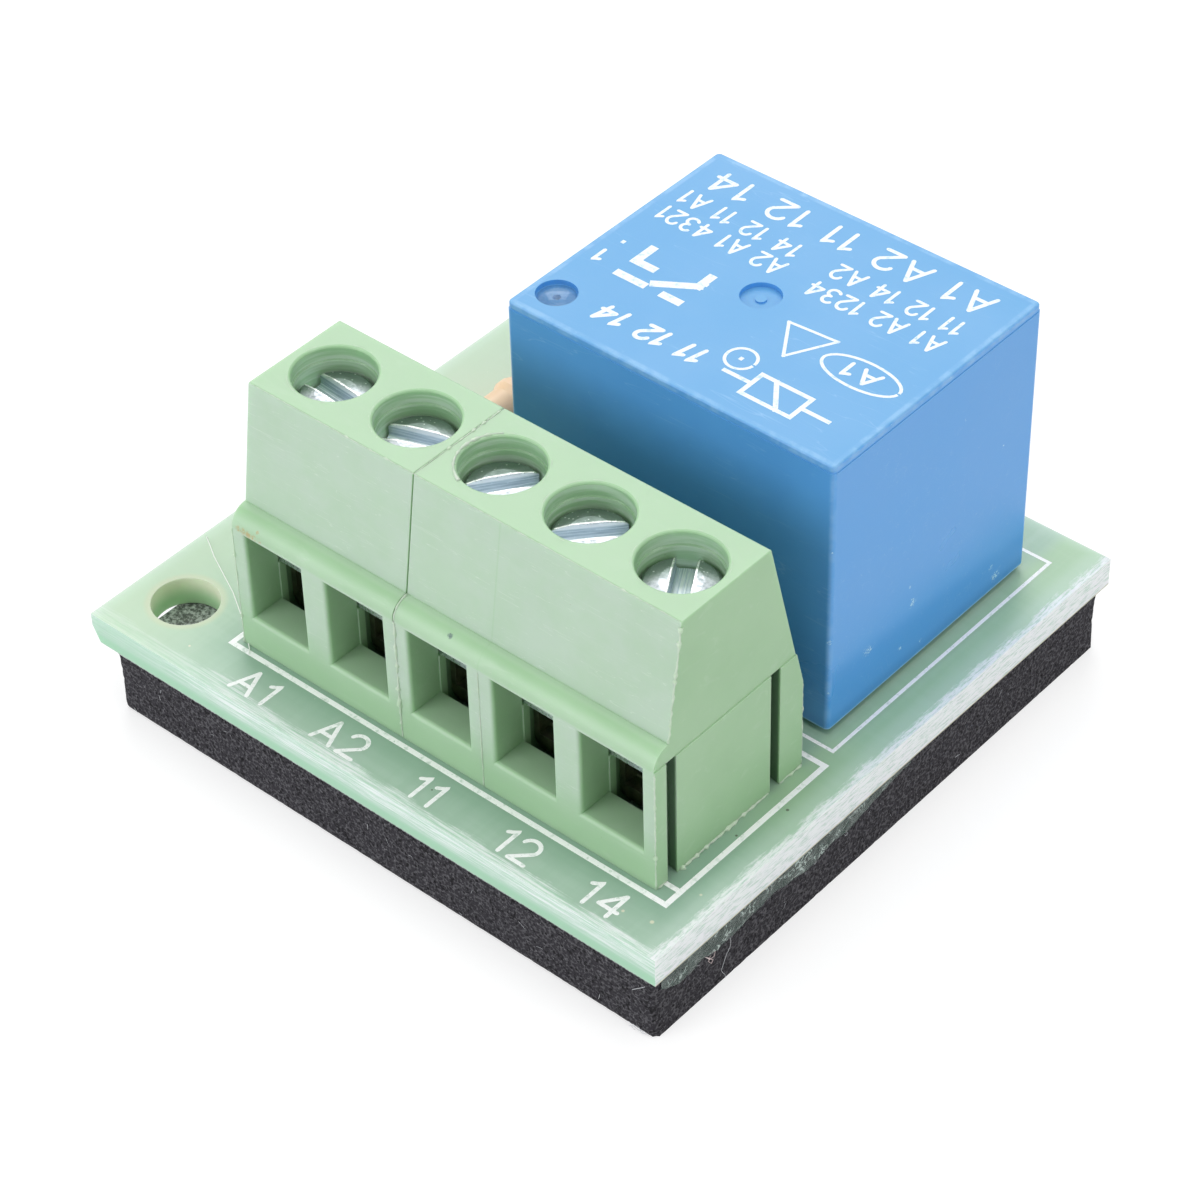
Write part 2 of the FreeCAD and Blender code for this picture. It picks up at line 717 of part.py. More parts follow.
def coil_bobbin():
    x = relay_left + core_from_left
    low, low_top, high_under, high = coil_levels()
    half = bobbin_flange / 2
    bore = core_diameter / 2 + bobbin_core_clearance
    near, far = relay_y - half, relay_y + half
    lower = rounded_block(x - half, x + half, near, far, low, low_top, bobbin_corner_radius)
    upper = rounded_block(x - half, x + half, near, far, high_under, high, bobbin_corner_radius)
    bobbin = lower.fuse([upper, rod(x, relay_y, low_top, high_under, bore + bobbin_tube_wall)])
    for px, py in coil_pins:
        side = 1 if py > relay_y else -1
        near, far = sorted((relay_y + side * half * 0.98, py + side * coil_pin_diameter))
        reach = coil_pin_diameter * 1.5
        ear = block(px - reach, px + reach, near, far, relay_bottom + base_thickness, low_top)
        bobbin = bobbin.fuse(ear)
        bobbin = bobbin.cut(rod(px, py, relay_bottom, low_top, coil_pin_diameter / 2))
    return bobbin.cut(rod(x, relay_y, low, high, bore)).removeSplitter()


def coil_winding():
    x = relay_left + core_from_left
    low, low_top, high_under, high = coil_levels()
    inner = core_diameter / 2 + bobbin_core_clearance + bobbin_tube_wall
    crown = winding_diameter / 2
    shoulder = crown - 0.15
    return spun([(inner, low_top), (shoulder, low_top), (crown, low_top + 0.4), (crown, high_under - 0.4),
                 (shoulder, high_under), (inner, high_under)], x, relay_y)


def coil_pin_pair():
    top = coil_levels()[1] + coil_pin_diameter
    return Part.makeCompound([rod(px, py, lead_tip, top, coil_pin_diameter / 2) for px, py in coil_pins])


# Parts that swing: drawn closed, then opened by the resting angle about the yoke's outer top edge
hinge = Vector(relay_left + yoke_from_left, relay_y, pole_top)
armature_bottom = pole_top + armature_seat_gap
leaf_bottom = armature_bottom + armature_thickness
leaf_top = leaf_bottom + leaf_thickness
contact_x = relay_left + contact_from_left
rivet_x = relay_left + core_from_left
rivet_spacing = leaf_width / 4


def opened(shape):
    shape.rotate(hinge, Vector(0, 1, 0), -armature_open_angle)
    return shape


def armature():
    half = armature_width / 2
    tip_x = hinge.x + armature_length
    plate = block(hinge.x, tip_x, relay_y - half, relay_y + half, armature_bottom, leaf_bottom)
    tip = [e for e in upright_edges(plate) if e.Vertexes[0].X > tip_x - 0.01]
    plate = plate.makeFillet(armature_width / 6, tip)
    upper = [e for e in plate.Edges if all(v.Z > leaf_bottom - 0.01 for v in e.Vertexes)]
    heel = [e for e in upper if all(v.X < hinge.x + 0.01 for v in e.Vertexes)]
    plate = plate.makeFillet(leaf_bend_radius, heel)
    for side in (-1, 1):
        y = relay_y + side * rivet_spacing
        plate = plate.fuse(rod(rivet_x, y, leaf_bottom, leaf_top, rivet_diameter / 2))
        head = rod(rivet_x, y, leaf_top, leaf_top + rivet_head_height, rivet_diameter * 0.75)
        plate = plate.fuse(head.makeFillet(rivet_head_height / 2, head.Edges[:1]))
    return opened(plate)


# Leaf riveted on the armature, bent down behind it, with its foot flat on the yoke at rest
def contact_spring():
    outer = leaf_bend_radius + leaf_thickness
    foot_x = hinge.x - armature_seat_gap
    bend_x = foot_x + leaf_bend_radius
    bend_z = leaf_top - outer
    half = leaf_width / 2
    turn = math.sqrt(0.5)

    def at(x, z):
        return Vector(x, relay_y - half, z)

    outer_arc = Part.Arc(at(foot_x - leaf_thickness, bend_z),
                         at(bend_x - outer * turn, bend_z + outer * turn),
                         at(bend_x, leaf_top)).toShape()
    inner_arc = Part.Arc(at(bend_x, leaf_bottom),
                         at(bend_x - leaf_bend_radius * turn, bend_z + leaf_bend_radius * turn),
                         at(foot_x, bend_z)).toShape()
    end = contact_x + contact_diameter / 2 + leaf_end_margin
    edges = [outer_arc, Part.makeLine(at(bend_x, leaf_top), at(end, leaf_top)),
             Part.makeLine(at(end, leaf_top), at(end, leaf_bottom)),
             Part.makeLine(at(end, leaf_bottom), at(bend_x, leaf_bottom)), inner_arc,
             Part.makeLine(at(foot_x, bend_z), at(foot_x - leaf_thickness, bend_z))]
    leaf = Part.Face(Part.Wire(edges)).extrude(Vector(0, leaf_width, 0))
    shoulder = hinge.x + armature_length
    side_cut = (leaf_width - leaf_tip_width) / 2
    up = Vector(0, 0, leaf_thickness)
    for side in (-1, 1):
        y = relay_y + side * half
        corners = [Vector(shoulder, y, leaf_bottom), Vector(end, y, leaf_bottom),
                   Vector(end, y - side * side_cut, leaf_bottom),
                   Vector(shoulder + side_cut, y - side * side_cut, leaf_bottom)]
        leaf = leaf.cut(Part.Face(Part.makePolygon(corners + corners[:1])).extrude(up))
        rivet_y = relay_y + side * rivet_spacing
        leaf = leaf.cut(rod(rivet_x, rivet_y, leaf_bottom, leaf_top, rivet_diameter / 2))
    leaf = leaf.cut(rod(contact_x, relay_y, leaf_bottom, leaf_top, contact_diameter / 4))
    foot_end = bend_z - leaf_foot_length
    foot = block(foot_x - leaf_thickness, foot_x, relay_y - half, relay_y + half, foot_end, bend_z)
    return opened(leaf).fuse(foot).removeSplitter()


def moving_contact():
    head = contact_diameter / 2
    stem = contact_diameter / 4
    edge = contact_height / 4
    shape = spun([(0, leaf_bottom - contact_height), (head - edge, leaf_bottom - contact_height),
                  (head, leaf_bottom - contact_height + edge), (head, leaf_bottom), (stem, leaf_bottom),
                  (stem, leaf_top), (head, leaf_top), (head, leaf_top + contact_height - edge),
                  (head - edge, leaf_top + contact_height), (0, leaf_top + contact_height)],
                 contact_x, relay_y)
    return opened(shape)


# Fixed contacts: pin, upright plate, bent tongue and a button that touches at face_z from above or below
closed_face_z = pole_top + closed_face_over_pole
open_face_z = leaf_bottom - contact_height - contact_touch_gap


def fixed_contact(pin, side, face_z, above):
    px, py = pin
    t = contact_plate_thickness
    button_z = face_z + contact_height if above else face_z - contact_height
    tongue_low = button_z if above else button_z - t
    inner = relay_y + side * (contact_diameter / 2 + contact_plate_gap)
    outer = py + side * relay_pin_width / 2
    y0, y1 = sorted((inner, outer))
    plate_bottom = relay_bottom + base_thickness
    plate = block(px - t / 2, px + t / 2, y0, y1, plate_bottom, tongue_low + t)
    root = inner + side * contact_plate_root
    tongue_y0, tongue_y1 = sorted((relay_y - side * contact_diameter / 2, root))
    tongue_x = contact_x - contact_diameter / 2
    tongue = block(tongue_x, px + t / 2, tongue_y0, tongue_y1, tongue_low, tongue_low + t)
    pin_body = block(px - t / 2, px + t / 2, py - relay_pin_width / 2, py + relay_pin_width / 2,
                     lead_tip, plate_bottom)
    low, high = sorted((button_z, face_z))
    button = rod(contact_x, relay_y, low, high, contact_diameter / 2)
    return plate.fuse([tongue, pin_body, button]).removeSplitter()


def common_pin_blade():
    px, py = common_pin
    top = relay_bottom + base_thickness
    return block(px - relay_pin_thickness / 2, px + relay_pin_thickness / 2, py - relay_pin_width / 2,
                 py + relay_pin_width / 2, lead_tip, top)


# Small leaded parts
# Body of revolution lying along Y, from (half length share, radius) points of one half
def axial_body(x, length, points):
    outline = [(r, -length * share) for share, r in points]
    outline += [(r, length * share) for share, r in reversed(points)]
    solid = spun([(0, -length)] + outline + [(0, length)])
    solid.rotate(Vector(0, 0, 0), Vector(1, 0, 0), 90)
    radius = max(r for share, r in points)
    solid.translate(Vector(x, resistor_y, board_top + radius + axial_body_gap))
    return solid


def axial_leads(pins, length, radius):
    (x, near), (x, far) = pins
    z = board_top + radius + axial_body_gap
    wire = axial_lead_diameter / 2
    ends = [(near, resistor_y - length / 2), (far, resistor_y + length / 2)]
    solids = []
    for y, body_end in ends:
        path = [Vector(x, body_end, z), Vector(x, y, z), Vector(x, y, lead_tip)]
        solids.append(bent_lead(path, wire, 2 * axial_lead_diameter))
    return Part.makeCompound(solids)


def resistor_body():
    r = resistor_diameter / 2
    waist = resistor_waist_diameter / 2
    points = [(1.0, r * 0.6), (0.94, r * 0.9), (0.84, r), (0.72, r), (0.6, waist)]
    return axial_body(resistor_x, resistor_length / 2, points)


def diode_body():
    r = diode_diameter / 2
    return axial_body(diode_x, diode_length / 2, [(1.0, r * 0.85), (0.94, r)])


def led_lens():
    r = led_diameter / 2
    z0 = board_top + led_standoff
    flange = rod(led_x, led_y, z0, z0 + led_flange_height, led_flange_diameter / 2)
    reach = led_flange_diameter
    flat = block(led_x + r, led_x + reach, led_y - reach, led_y + reach, z0, z0 + led_flange_height)
    barrel = rod(led_x, led_y, z0, z0 + led_height - r, r)
    dome = Part.makeSphere(r, Vector(led_x, led_y, z0 + led_height - r))
    return flange.cut(flat).fuse([barrel, dome]).removeSplitter()


def led_leads():
    half = led_lead_width / 2
    top = board_top + led_standoff
    wires = [block(x - half, x + half, y - half, y + half, lead_tip, top) for x, y in led_pins]
    return Part.makeCompound(wires)


# Build every piece and write one file for each
contacts = [terminal_contact(way) for way in range(ways)]
closed_contact = fixed_contact(contact_pins[1], 1, closed_face_z, True)
open_contact = fixed_contact(contact_pins[0], -1, open_face_z, False)
common_blade = common_pin_blade()
coil_pin_shapes = coil_pin_pair()
resistor_wire = axial_leads(resistor_pins, resistor_length, resistor_diameter / 2)
diode_wire = axial_leads(diode_pins, diode_length, diode_diameter / 2)
led_wire = led_leads()
relay_leads = [closed_contact, open_contact, common_blade, coil_pin_shapes]
all_leads = contacts + relay_leads + [resistor_wire, diode_wire, led_wire]
base = relay_base().cut(relay_leads)

save(circuit_board(), "circuit_board")
save(copper_tracks(), "copper_tracks")
save(solder_joints(all_leads), "solder_joints")
save(adhesive_film(), "adhesive_film")
save(foam_pad(), "foam_pad")
save(terminal_housing(0, first_block_ways), "terminal_housing_left")
save(terminal_housing(first_block_ways, second_block_ways), "terminal_housing_right")
for way in range(ways):
    save(clamp_screw(way), "clamp_screw_" + str(way + 1))
    save(clamp_cage(way), "clamp_cage_" + str(way + 1))
    save(contacts[way], "terminal_contact_" + str(way + 1))
save(relay_cover(), "relay_cover")
save(vent_seal(), "vent_seal")
save(base, "relay_base")
save(magnet_yoke(), "magnet_yoke")
save(magnet_core(), "magnet_core")
save(coil_bobbin(), "coil_bobbin")
save(coil_winding(), "coil_winding")
save(coil_pin_shapes, "coil_pins")
save(armature(), "armature")
save(contact_spring(), "contact_spring")
save(moving_contact(), "moving_contact")
save(closed_contact, "normally_closed_contact")
save(open_contact, "normally_open_contact")
save(common_blade, "common_pin")
save(resistor_body(), "resistor_body")
save(resistor_wire, "resistor_leads")
save(diode_body(), "diode_body")
save(diode_wire, "diode_leads")
save(led_lens(), "led_lens")
save(led_wire, "led_leads")
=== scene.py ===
import math
import random

import bmesh
import bpy
from mathutils import Matrix, Vector, noise


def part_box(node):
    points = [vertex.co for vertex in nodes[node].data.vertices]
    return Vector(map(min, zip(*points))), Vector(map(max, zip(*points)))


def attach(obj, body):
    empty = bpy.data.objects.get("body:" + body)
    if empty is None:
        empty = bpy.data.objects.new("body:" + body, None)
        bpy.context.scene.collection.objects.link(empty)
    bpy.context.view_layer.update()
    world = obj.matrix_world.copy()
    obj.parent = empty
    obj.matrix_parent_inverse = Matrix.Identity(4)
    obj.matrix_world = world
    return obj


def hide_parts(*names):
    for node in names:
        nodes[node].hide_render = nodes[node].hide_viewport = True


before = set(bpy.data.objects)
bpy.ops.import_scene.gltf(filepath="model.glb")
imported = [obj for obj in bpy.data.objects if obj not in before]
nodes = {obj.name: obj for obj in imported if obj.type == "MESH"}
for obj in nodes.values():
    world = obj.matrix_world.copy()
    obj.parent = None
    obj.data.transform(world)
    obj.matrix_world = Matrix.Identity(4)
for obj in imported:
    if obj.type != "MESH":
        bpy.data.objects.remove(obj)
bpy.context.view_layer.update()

random.seed(7)
mm = 0.001
wayCount = 5


# lowest and highest corner of a CAD node, in millimetres
def cornersOf(nodeName):
    return [Vector(corner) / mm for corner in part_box(nodeName)]


# all places and sizes below are in millimetres, unless a note says metres
boardLow, boardHigh = cornersOf("circuit_board")
relayLow, relayHigh = cornersOf("relay_cover")
blockLow, seamCorner = cornersOf("terminal_housing_left")
blockHigh = cornersOf("terminal_housing_right")[1]
foamLow, foamHigh = cornersOf("foam_pad")
boardTop, relayTop = boardHigh.z, relayHigh.z
seamX, wayPitch = seamCorner.x, 5.08
blockLow.x = seamX - 2 * wayPitch  # the joining ribs stand out beyond it
screwY = blockLow.y + 4.9
wayX = [blockLow.x + (k + 0.5) * wayPitch for k in range(wayCount)]
print("frame loaded:", len(nodes), "nodes")

# camera: place and directions in metres, lens in millimetres
view = {
    "eye": (0.08700, -0.09735, 0.12079),
    "right": (0.7572, 0.6529, -0.0212),
    "up": (-0.4224, 0.5141, 0.7464),
    "lens": 109.16,
}

# lamps: place and size in metres, watts, colour
studio = {
    "worldLight": 0.50,
    "worldColour": (0.985, 0.99, 1.0),
    "floorRadius": 3.0,  # metres
    "floorColour": (0.80, 0.80, 0.80),
    "floorShade": (0.45, 0.45, 0.45),
    "floorGlow": 0.62,
    "lamps": {
        "topLamp": ((0.02, 0.02, 0.42), 0.34, 0.60, (1.0, 1.0, 1.0)),
        "backLamp": ((-0.24, 0.27, 0.33), 0.26, 0.62, (1.0, 1.0, 1.0)),
        "frontLamp": ((-0.16, -0.38, 0.16), 0.28, 0.91, (0.95, 0.97, 1.0)),
        "rightLamp": ((0.42, 0.05, 0.26), 0.24, 0.50, (1.0, 1.0, 1.0)),
    },
}


def addObject(name, data):
    obj = bpy.data.objects.new(name, data)
    bpy.context.scene.collection.objects.link(obj)
    return obj


def placeCamera():
    right = Vector(view["right"]).normalized()
    up = Vector(view["up"])
    up = (up - right * up.dot(right)).normalized()
    turn = Matrix((right, up, right.cross(up))).transposed().to_4x4()
    camData = bpy.data.cameras.new("productCamera")
    camData.lens = view["lens"]
    camData.sensor_width = 36.0
    camData.clip_start = 0.01
    camData.clip_end = 20.0
    cam = addObject("productCamera", camData)
    cam.matrix_world = Matrix.Translation(view["eye"]) @ turn
    bpy.context.scene.camera = cam


def placeLamp(name, place, size, watts, colour):
    lampData = bpy.data.lights.new(name, "AREA")
    lampData.shape = "SQUARE"
    lampData.size = size
    lampData.energy = watts
    lampData.color = colour
    aim = (Vector(place) - Vector((0, 0, 0.01))).to_track_quat("Z", "Y")
    addObject(name, lampData).matrix_world = Matrix.Translation(place) @ aim.to_matrix().to_4x4()


# 1 for what the camera sees straight, in a mirror or through glass
def seenDirectly(tree):
    rays = tree.nodes.new("ShaderNodeLightPath").outputs
    return mostOf(rays["Is Camera Ray"], rays["Is Glossy Ray"], rays["Is Transmission Ray"])


# sets a socket to a number or a colour, or links it to another socket
def feed(socket, value):
    if isinstance(value, bpy.types.NodeSocket):
        socket.id_data.links.new(value, socket)
    elif socket.type == "RGBA" and len(value) == 3:
        socket.default_value = (*value, 1)
    else:
        socket.default_value = value


# a node fed with the values, by default to its sockets in order
def nodeBy(kind, values, sockets=range(8)):
    tree = next(value.id_data for value in values if isinstance(value, bpy.types.NodeSocket))
    node = tree.nodes.new("ShaderNode" + kind)
    for socket, value in zip(sockets, values):
        feed(node.inputs[socket], value)
    return node


def mathOf(kind, *values, clamp=False):
    node = nodeBy("Math", values)
    node.operation = kind
    node.use_clamp = clamp
    return node.outputs[0]


def mostOf(*values):
    most = values[0]
    for value in values[1:]:
        most = mathOf("MAXIMUM", most, value)
    return most


# a plain shader with its sockets set by name
def sheetOf(tree, kind, **values):
    node = tree.nodes.new("ShaderNode" + kind)
    for socket, value in values.items():
        feed(node.inputs[socket], value)
    return node.outputs[0]


# the first shader lights the object, the second one is what the camera sees
def showSecond(tree, first, second, outputName):
    mix = nodeBy("MixShader", (seenDirectly(tree), first, second))
    feed(tree.nodes[outputName].inputs["Surface"], mix.outputs[0])


def makeWorld():
    world = bpy.data.worlds.new("lightTent")
    bpy.context.scene.world = world
    world.use_nodes = True
    tree = world.node_tree
    tree.nodes.remove(tree.nodes["Background"])
    soft = sheetOf(tree, "Background", Color=studio["worldColour"], Strength=studio["worldLight"])
    white = sheetOf(tree, "Background", Color=(1, 1, 1), Strength=1.0)
    showSecond(tree, soft, white, "World Output")


def makeFloor():
    bm = bmesh.new()
    bmesh.ops.create_circle(bm, cap_ends=True, segments=96, radius=studio["floorRadius"])
    mesh = bpy.data.meshes.new("studioFloor")
    bm.to_mesh(mesh)
    bm.free()
    mat = bpy.data.materials.new("whiteSweep")
    mat.use_nodes = True
    tree = mat.node_tree
    tree.nodes.remove(tree.nodes["Principled BSDF"])
    paper = sheetOf(tree, "BsdfDiffuse", Color=studio["floorColour"])
    shade = sheetOf(tree, "BsdfDiffuse", Color=studio["floorShade"])
    glow = sheetOf(tree, "Emission", Strength=studio["floorGlow"])
    showSecond(tree, paper, nodeBy("AddShader", (shade, glow)).outputs[0], "Material Output")
    mesh.materials.append(mat)
    addObject("studioFloor", mesh)


bpy.context.scene.view_settings.view_transform = "Standard"
placeCamera()
makeWorld()
makeFloor()
for lampName, facts in studio["lamps"].items():
    placeLamp(lampName, *facts)
print("camera, lamps and floor placed")


# a new material, and its pattern space in millimetres
def startMaterial(name, roughness=0.5, metallic=0.0, specular=0.5):
    mat = bpy.data.materials.new(name)
    mat.use_nodes = True
    shader = mat.node_tree.nodes["Principled BSDF"]
    for socket, value in (("Roughness", roughness), ("Metallic", metallic), ("Specular IOR Level", specular)):
        shader.inputs[socket].default_value = value
    coords = mat.node_tree.nodes.new("ShaderNodeTexCoord")
    return mat, shader, mapped(coords.outputs["Object"], scale=(1000, 1000, 1000))


def mapped(source, scale=(1, 1, 1), turn=(0, 0, 0), shift=(0, 0, 0)):
    return nodeBy("Mapping", (source, shift, turn, scale)).outputs[0]


def noiseOf(source, scale, detail=2.0, roughness=0.5, distortion=0.0):
    return nodeBy("TexNoise", (source, scale, detail, roughness, distortion),
                  ("Vector", "Scale", "Detail", "Roughness", "Distortion")).outputs["Fac"]


def cellsOf(source, scale):
    return nodeBy("TexVoronoi", (source, scale), ("Vector", "Scale")).outputs["Distance"]


def rangeOf(value, low, high, toLow=0.0, toHigh=1.0):
    node = nodeBy("MapRange", (value, low, high, toLow, toHigh))
    node.interpolation_type = "SMOOTHSTEP"
    return node.outputs["Result"]


# lays the second colour over the first where the mask is 1
def blendOf(mask, first, second, share=1.0):
    if share != 1.0:
        mask = mathOf("MULTIPLY", mask, share)
    node = mask.id_data.nodes.new("ShaderNodeMix")
    node.data_type = "RGBA"
    for socket, value in ((0, mask), (6, first), (7, second)):
        feed(node.inputs[socket], value)
    return node.outputs[2]


def timesOf(*values):
    product = values[0]
    for value in values[1:]:
        product = mathOf("MULTIPLY", product, value)
    return product


def minusOf(value, less, clamp=False):
    return mathOf("SUBTRACT", value, less, clamp=clamp)


# value times factor, plus more
def scaledOf(value, factor, more):
    return mathOf("MULTIPLY_ADD", value, factor, more)


def axesOf(source):
    return nodeBy("SeparateXYZ", (source,)).outputs


# which way the surface itself faces
def facingOf(space):
    return axesOf(space.id_data.nodes.new("ShaderNodeNewGeometry").outputs["Normal"])


# 1 at a place given in millimetres, 0 beyond the radius
def spotOf(space, centre, radius, edge=0.5):
    node = nodeBy("VectorMath", (space, centre))
    node.operation = "DISTANCE"
    return rangeOf(node.outputs["Value"], radius * (1 - edge), radius, 1.0, 0.0)


# 1 between two values, 0 outside them
def bandOf(value, low, high, edge):
    rise = rangeOf(value, low - edge, low + edge)
    return timesOf(rise, rangeOf(value, high - edge, high + edge, 1.0, 0.0))


# depth in metres
def bump(shader, height, strength, depth):
    node = nodeBy("Bump", (height, strength, depth), ("Height", "Strength", "Distance"))
    feed(shader.inputs["Normal"], node.outputs[0])


def paint(shader, colour):
    feed(shader.inputs["Base Color"], colour)


# scale in metres
def soften(shader, weight, radius, scale):
    shader.inputs["Subsurface Weight"].default_value = weight
    shader.inputs["Subsurface Radius"].default_value = radius
    shader.inputs["Subsurface Scale"].default_value = scale


# gives CAD nodes their finish
def wear(mat, *nodeNames):
    for nodeName in nodeNames:
        nodes[nodeName].data.materials.clear()
        nodes[nodeName].data.materials.append(mat)


def newPiece(name, bm, mat, body="board"):
    mesh = bpy.data.meshes.new(name)
    bm.to_mesh(mesh)
    bm.free()
    obj = addObject(name, mesh)
    mesh.materials.append(mat)
    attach(obj, body)
    return obj


# strokes as (points, width), round, or pressed flat onto a level, as a new bmesh
def penStrokes(strokes, level=0.0, flat=1.0):
    curve = bpy.data.curves.new("penStroke", "CURVE")
    curve.dimensions = "3D"
    curve.bevel_depth = 1.0
    curve.bevel_resolution = 1 if flat == 1.0 else 0
    curve.use_fill_caps = True
    for points, width in strokes:
        widths = width if isinstance(width, list) else [width] * len(points)
        spline = curve.splines.new("POLY")
        spline.points.add(len(points) - 1)
        for spot, point, across in zip(spline.points, points, widths):
            x, y, z = (*point, 0)[:3]
            spot.co = (x * mm, y * mm, z * mm, 1)
            spot.radius = across * mm / 2
    holder = addObject("penStroke", curve)
    bpy.context.view_layer.update()
    mesh = bpy.data.meshes.new_from_object(holder)
    bpy.data.objects.remove(holder)
    bpy.data.curves.remove(curve)
    # caps and tube are separate until merged
    bm = bmesh.new()
    bm.from_mesh(mesh)
    bpy.data.meshes.remove(mesh)
    bmesh.ops.remove_doubles(bm, verts=bm.verts, dist=0.00000001)
    bmesh.ops.recalc_face_normals(bm, faces=bm.faces)
    for face in bm.faces:
        face.smooth = flat == 1.0
    bm.transform(Matrix.Translation((0, 0, level * mm)) @ Matrix.Diagonal((1, 1, flat, 1)))
    return bm


# straight stroke with square ends that reach half its width past both points
def ruled(start, end, width):
    start, end = Vector(start), Vector(end)
    reach = (end - start).normalized() * width / 2
    return ([start - reach, end + reach], width)


# plain figures drawn with the pen, one unit high: width and strokes
def arcOf(cx, cy, rx, ry, start, end, steps=12):
    turns = [math.radians(start + (end - start) * k / steps) for k in range(steps + 1)]
    return [(cx + rx * math.cos(t), cy + ry * math.sin(t)) for t in turns]


penFigures = {
    " ": (0.30, []),
    "1": (0.36, [[(0.03, 0.78), (0.16, 0.86), (0.27, 1.0), (0.27, 0.97), (0.27, 0.0)]]),
    "2": (0.62, [arcOf(0.31, 0.70, 0.28, 0.30, 165, -35) + [(0.03, 0.0)], [(0.03, 0.0), (0.60, 0.0)]]),
    "3": (0.62, [arcOf(0.30, 0.75, 0.26, 0.25, 150, -90), arcOf(0.30, 0.25, 0.29, 0.25, 90, -150)]),
    "4": (0.68, [[(0.50, 0.0), (0.50, 1.0)], [(0.50, 1.0), (0.03, 0.30)], [(0.03, 0.30), (0.66, 0.30)]]),
    "A": (0.74, [[(0.03, 0.0), (0.37, 1.0)], [(0.37, 1.0), (0.71, 0.0)], [(0.16, 0.34), (0.58, 0.34)]]),
}


def figureRun(words, height, gap):
    return (sum(penFigures[sign][0] + gap for sign in words) - gap) * height


# figures from start to end, their tops to the left of that way
def figureStrokes(words, start, end, height, width, lean=0.0):
    start, end = Vector(start), Vector(end)
    run = end - start
    gap = boardPrint["figureGap"]
    stretch = run.length / figureRun(words, height, gap)
    along = run.normalized()
    up = Vector((-along.y, along.x)) * height
    strokes = []
    travelled = 0.0
    for sign in words:
        signWidth, shapes = penFigures[sign]
        for shape in shapes:
            points = [start + along * (travelled + (u + lean * (v - 0.5)) * height * stretch) + up * (v - 0.5)
                      for u, v in shape]
            # rounded tips
            tips = [points[k] + (points[k] - points[j]).normalized() * width * 0.42 for k, j in ((0, 1), (-1, -2))]
            widths = [width * 0.5] + [width] * len(points) + [width * 0.5]
            strokes.append(([tips[0], *points, tips[1]], widths))
        travelled += (signWidth + gap) * height * stretch
    return strokes


laminate = {
    "pale": (0.395, 0.555, 0.435),
    "deep": (0.315, 0.495, 0.375),
    # painted shade round the foot of the block
    "foot": (0.25, 0.41, 0.30),
    "fresh": (0.44, 0.66, 0.34),
    "faded": (0.52, 0.66, 0.48),
    "halo": (0.60, 0.73, 0.65),
    "fibre": (0.87, 0.90, 0.90),
    "fibreGap": (0.56, 0.69, 0.62),
    "frontEdge": (0.42, 0.63, 0.49),
    "frontEdgeLow": (0.36, 0.62, 0.43),
    "otherEdge": (0.42, 0.56, 0.46),
    "flux": (0.56, 0.53, 0.40),
    "holeRing": (0.54, 0.60, 0.42),
    "holeWall": (0.74, 0.80, 0.60),
    "holeWallLow": (0.46, 0.72, 0.42),
    "holePlace": (-14.7, -13.5),
    "rightCrazing": 0.62,
    "frontCrazing": 0.72,
    "creamSpecks": ((16.0, -15.3, 0.13), (14.6, -15.6, 0.10), (16.6, -12.7, 0.09), (-12.3, -15.6, 0.08)),
    "darkSpecks": ((16.25, -6.2, 0.10), (15.5, -8.9, 0.08), (-8.1, -15.9, 0.07), (3.1, -15.4, 0.06)),
}


# fibres along a sawn edge, running on from the top down the side
def fibresOf(along, inward, shortness):
    node = nodeBy("CombineXYZ", (timesOf(inward, 8.5), timesOf(along, shortness)))
    return noiseOf(node.outputs[0], 1.0, 6, 0.75, 0.3)


# white crazing that reaches in from an edge, ragged along its inner side
def crazingOf(space, fibres, inward, reach):
    flatSpace = mapped(space, scale=(1, 1, 0))
    wander = noiseOf(flatSpace, 0.35, 2)
    ragged = noiseOf(flatSpace, 4.2, 4, 0.7)
    edge = scaledOf(wander, 0.9, reach - 0.65)
    edge = scaledOf(ragged, 0.30, minusOf(edge, 0.15))
    edge = scaledOf(fibres, 0.9, minusOf(edge, 0.45))
    return rangeOf(minusOf(edge, inward), -0.12, 0.26)


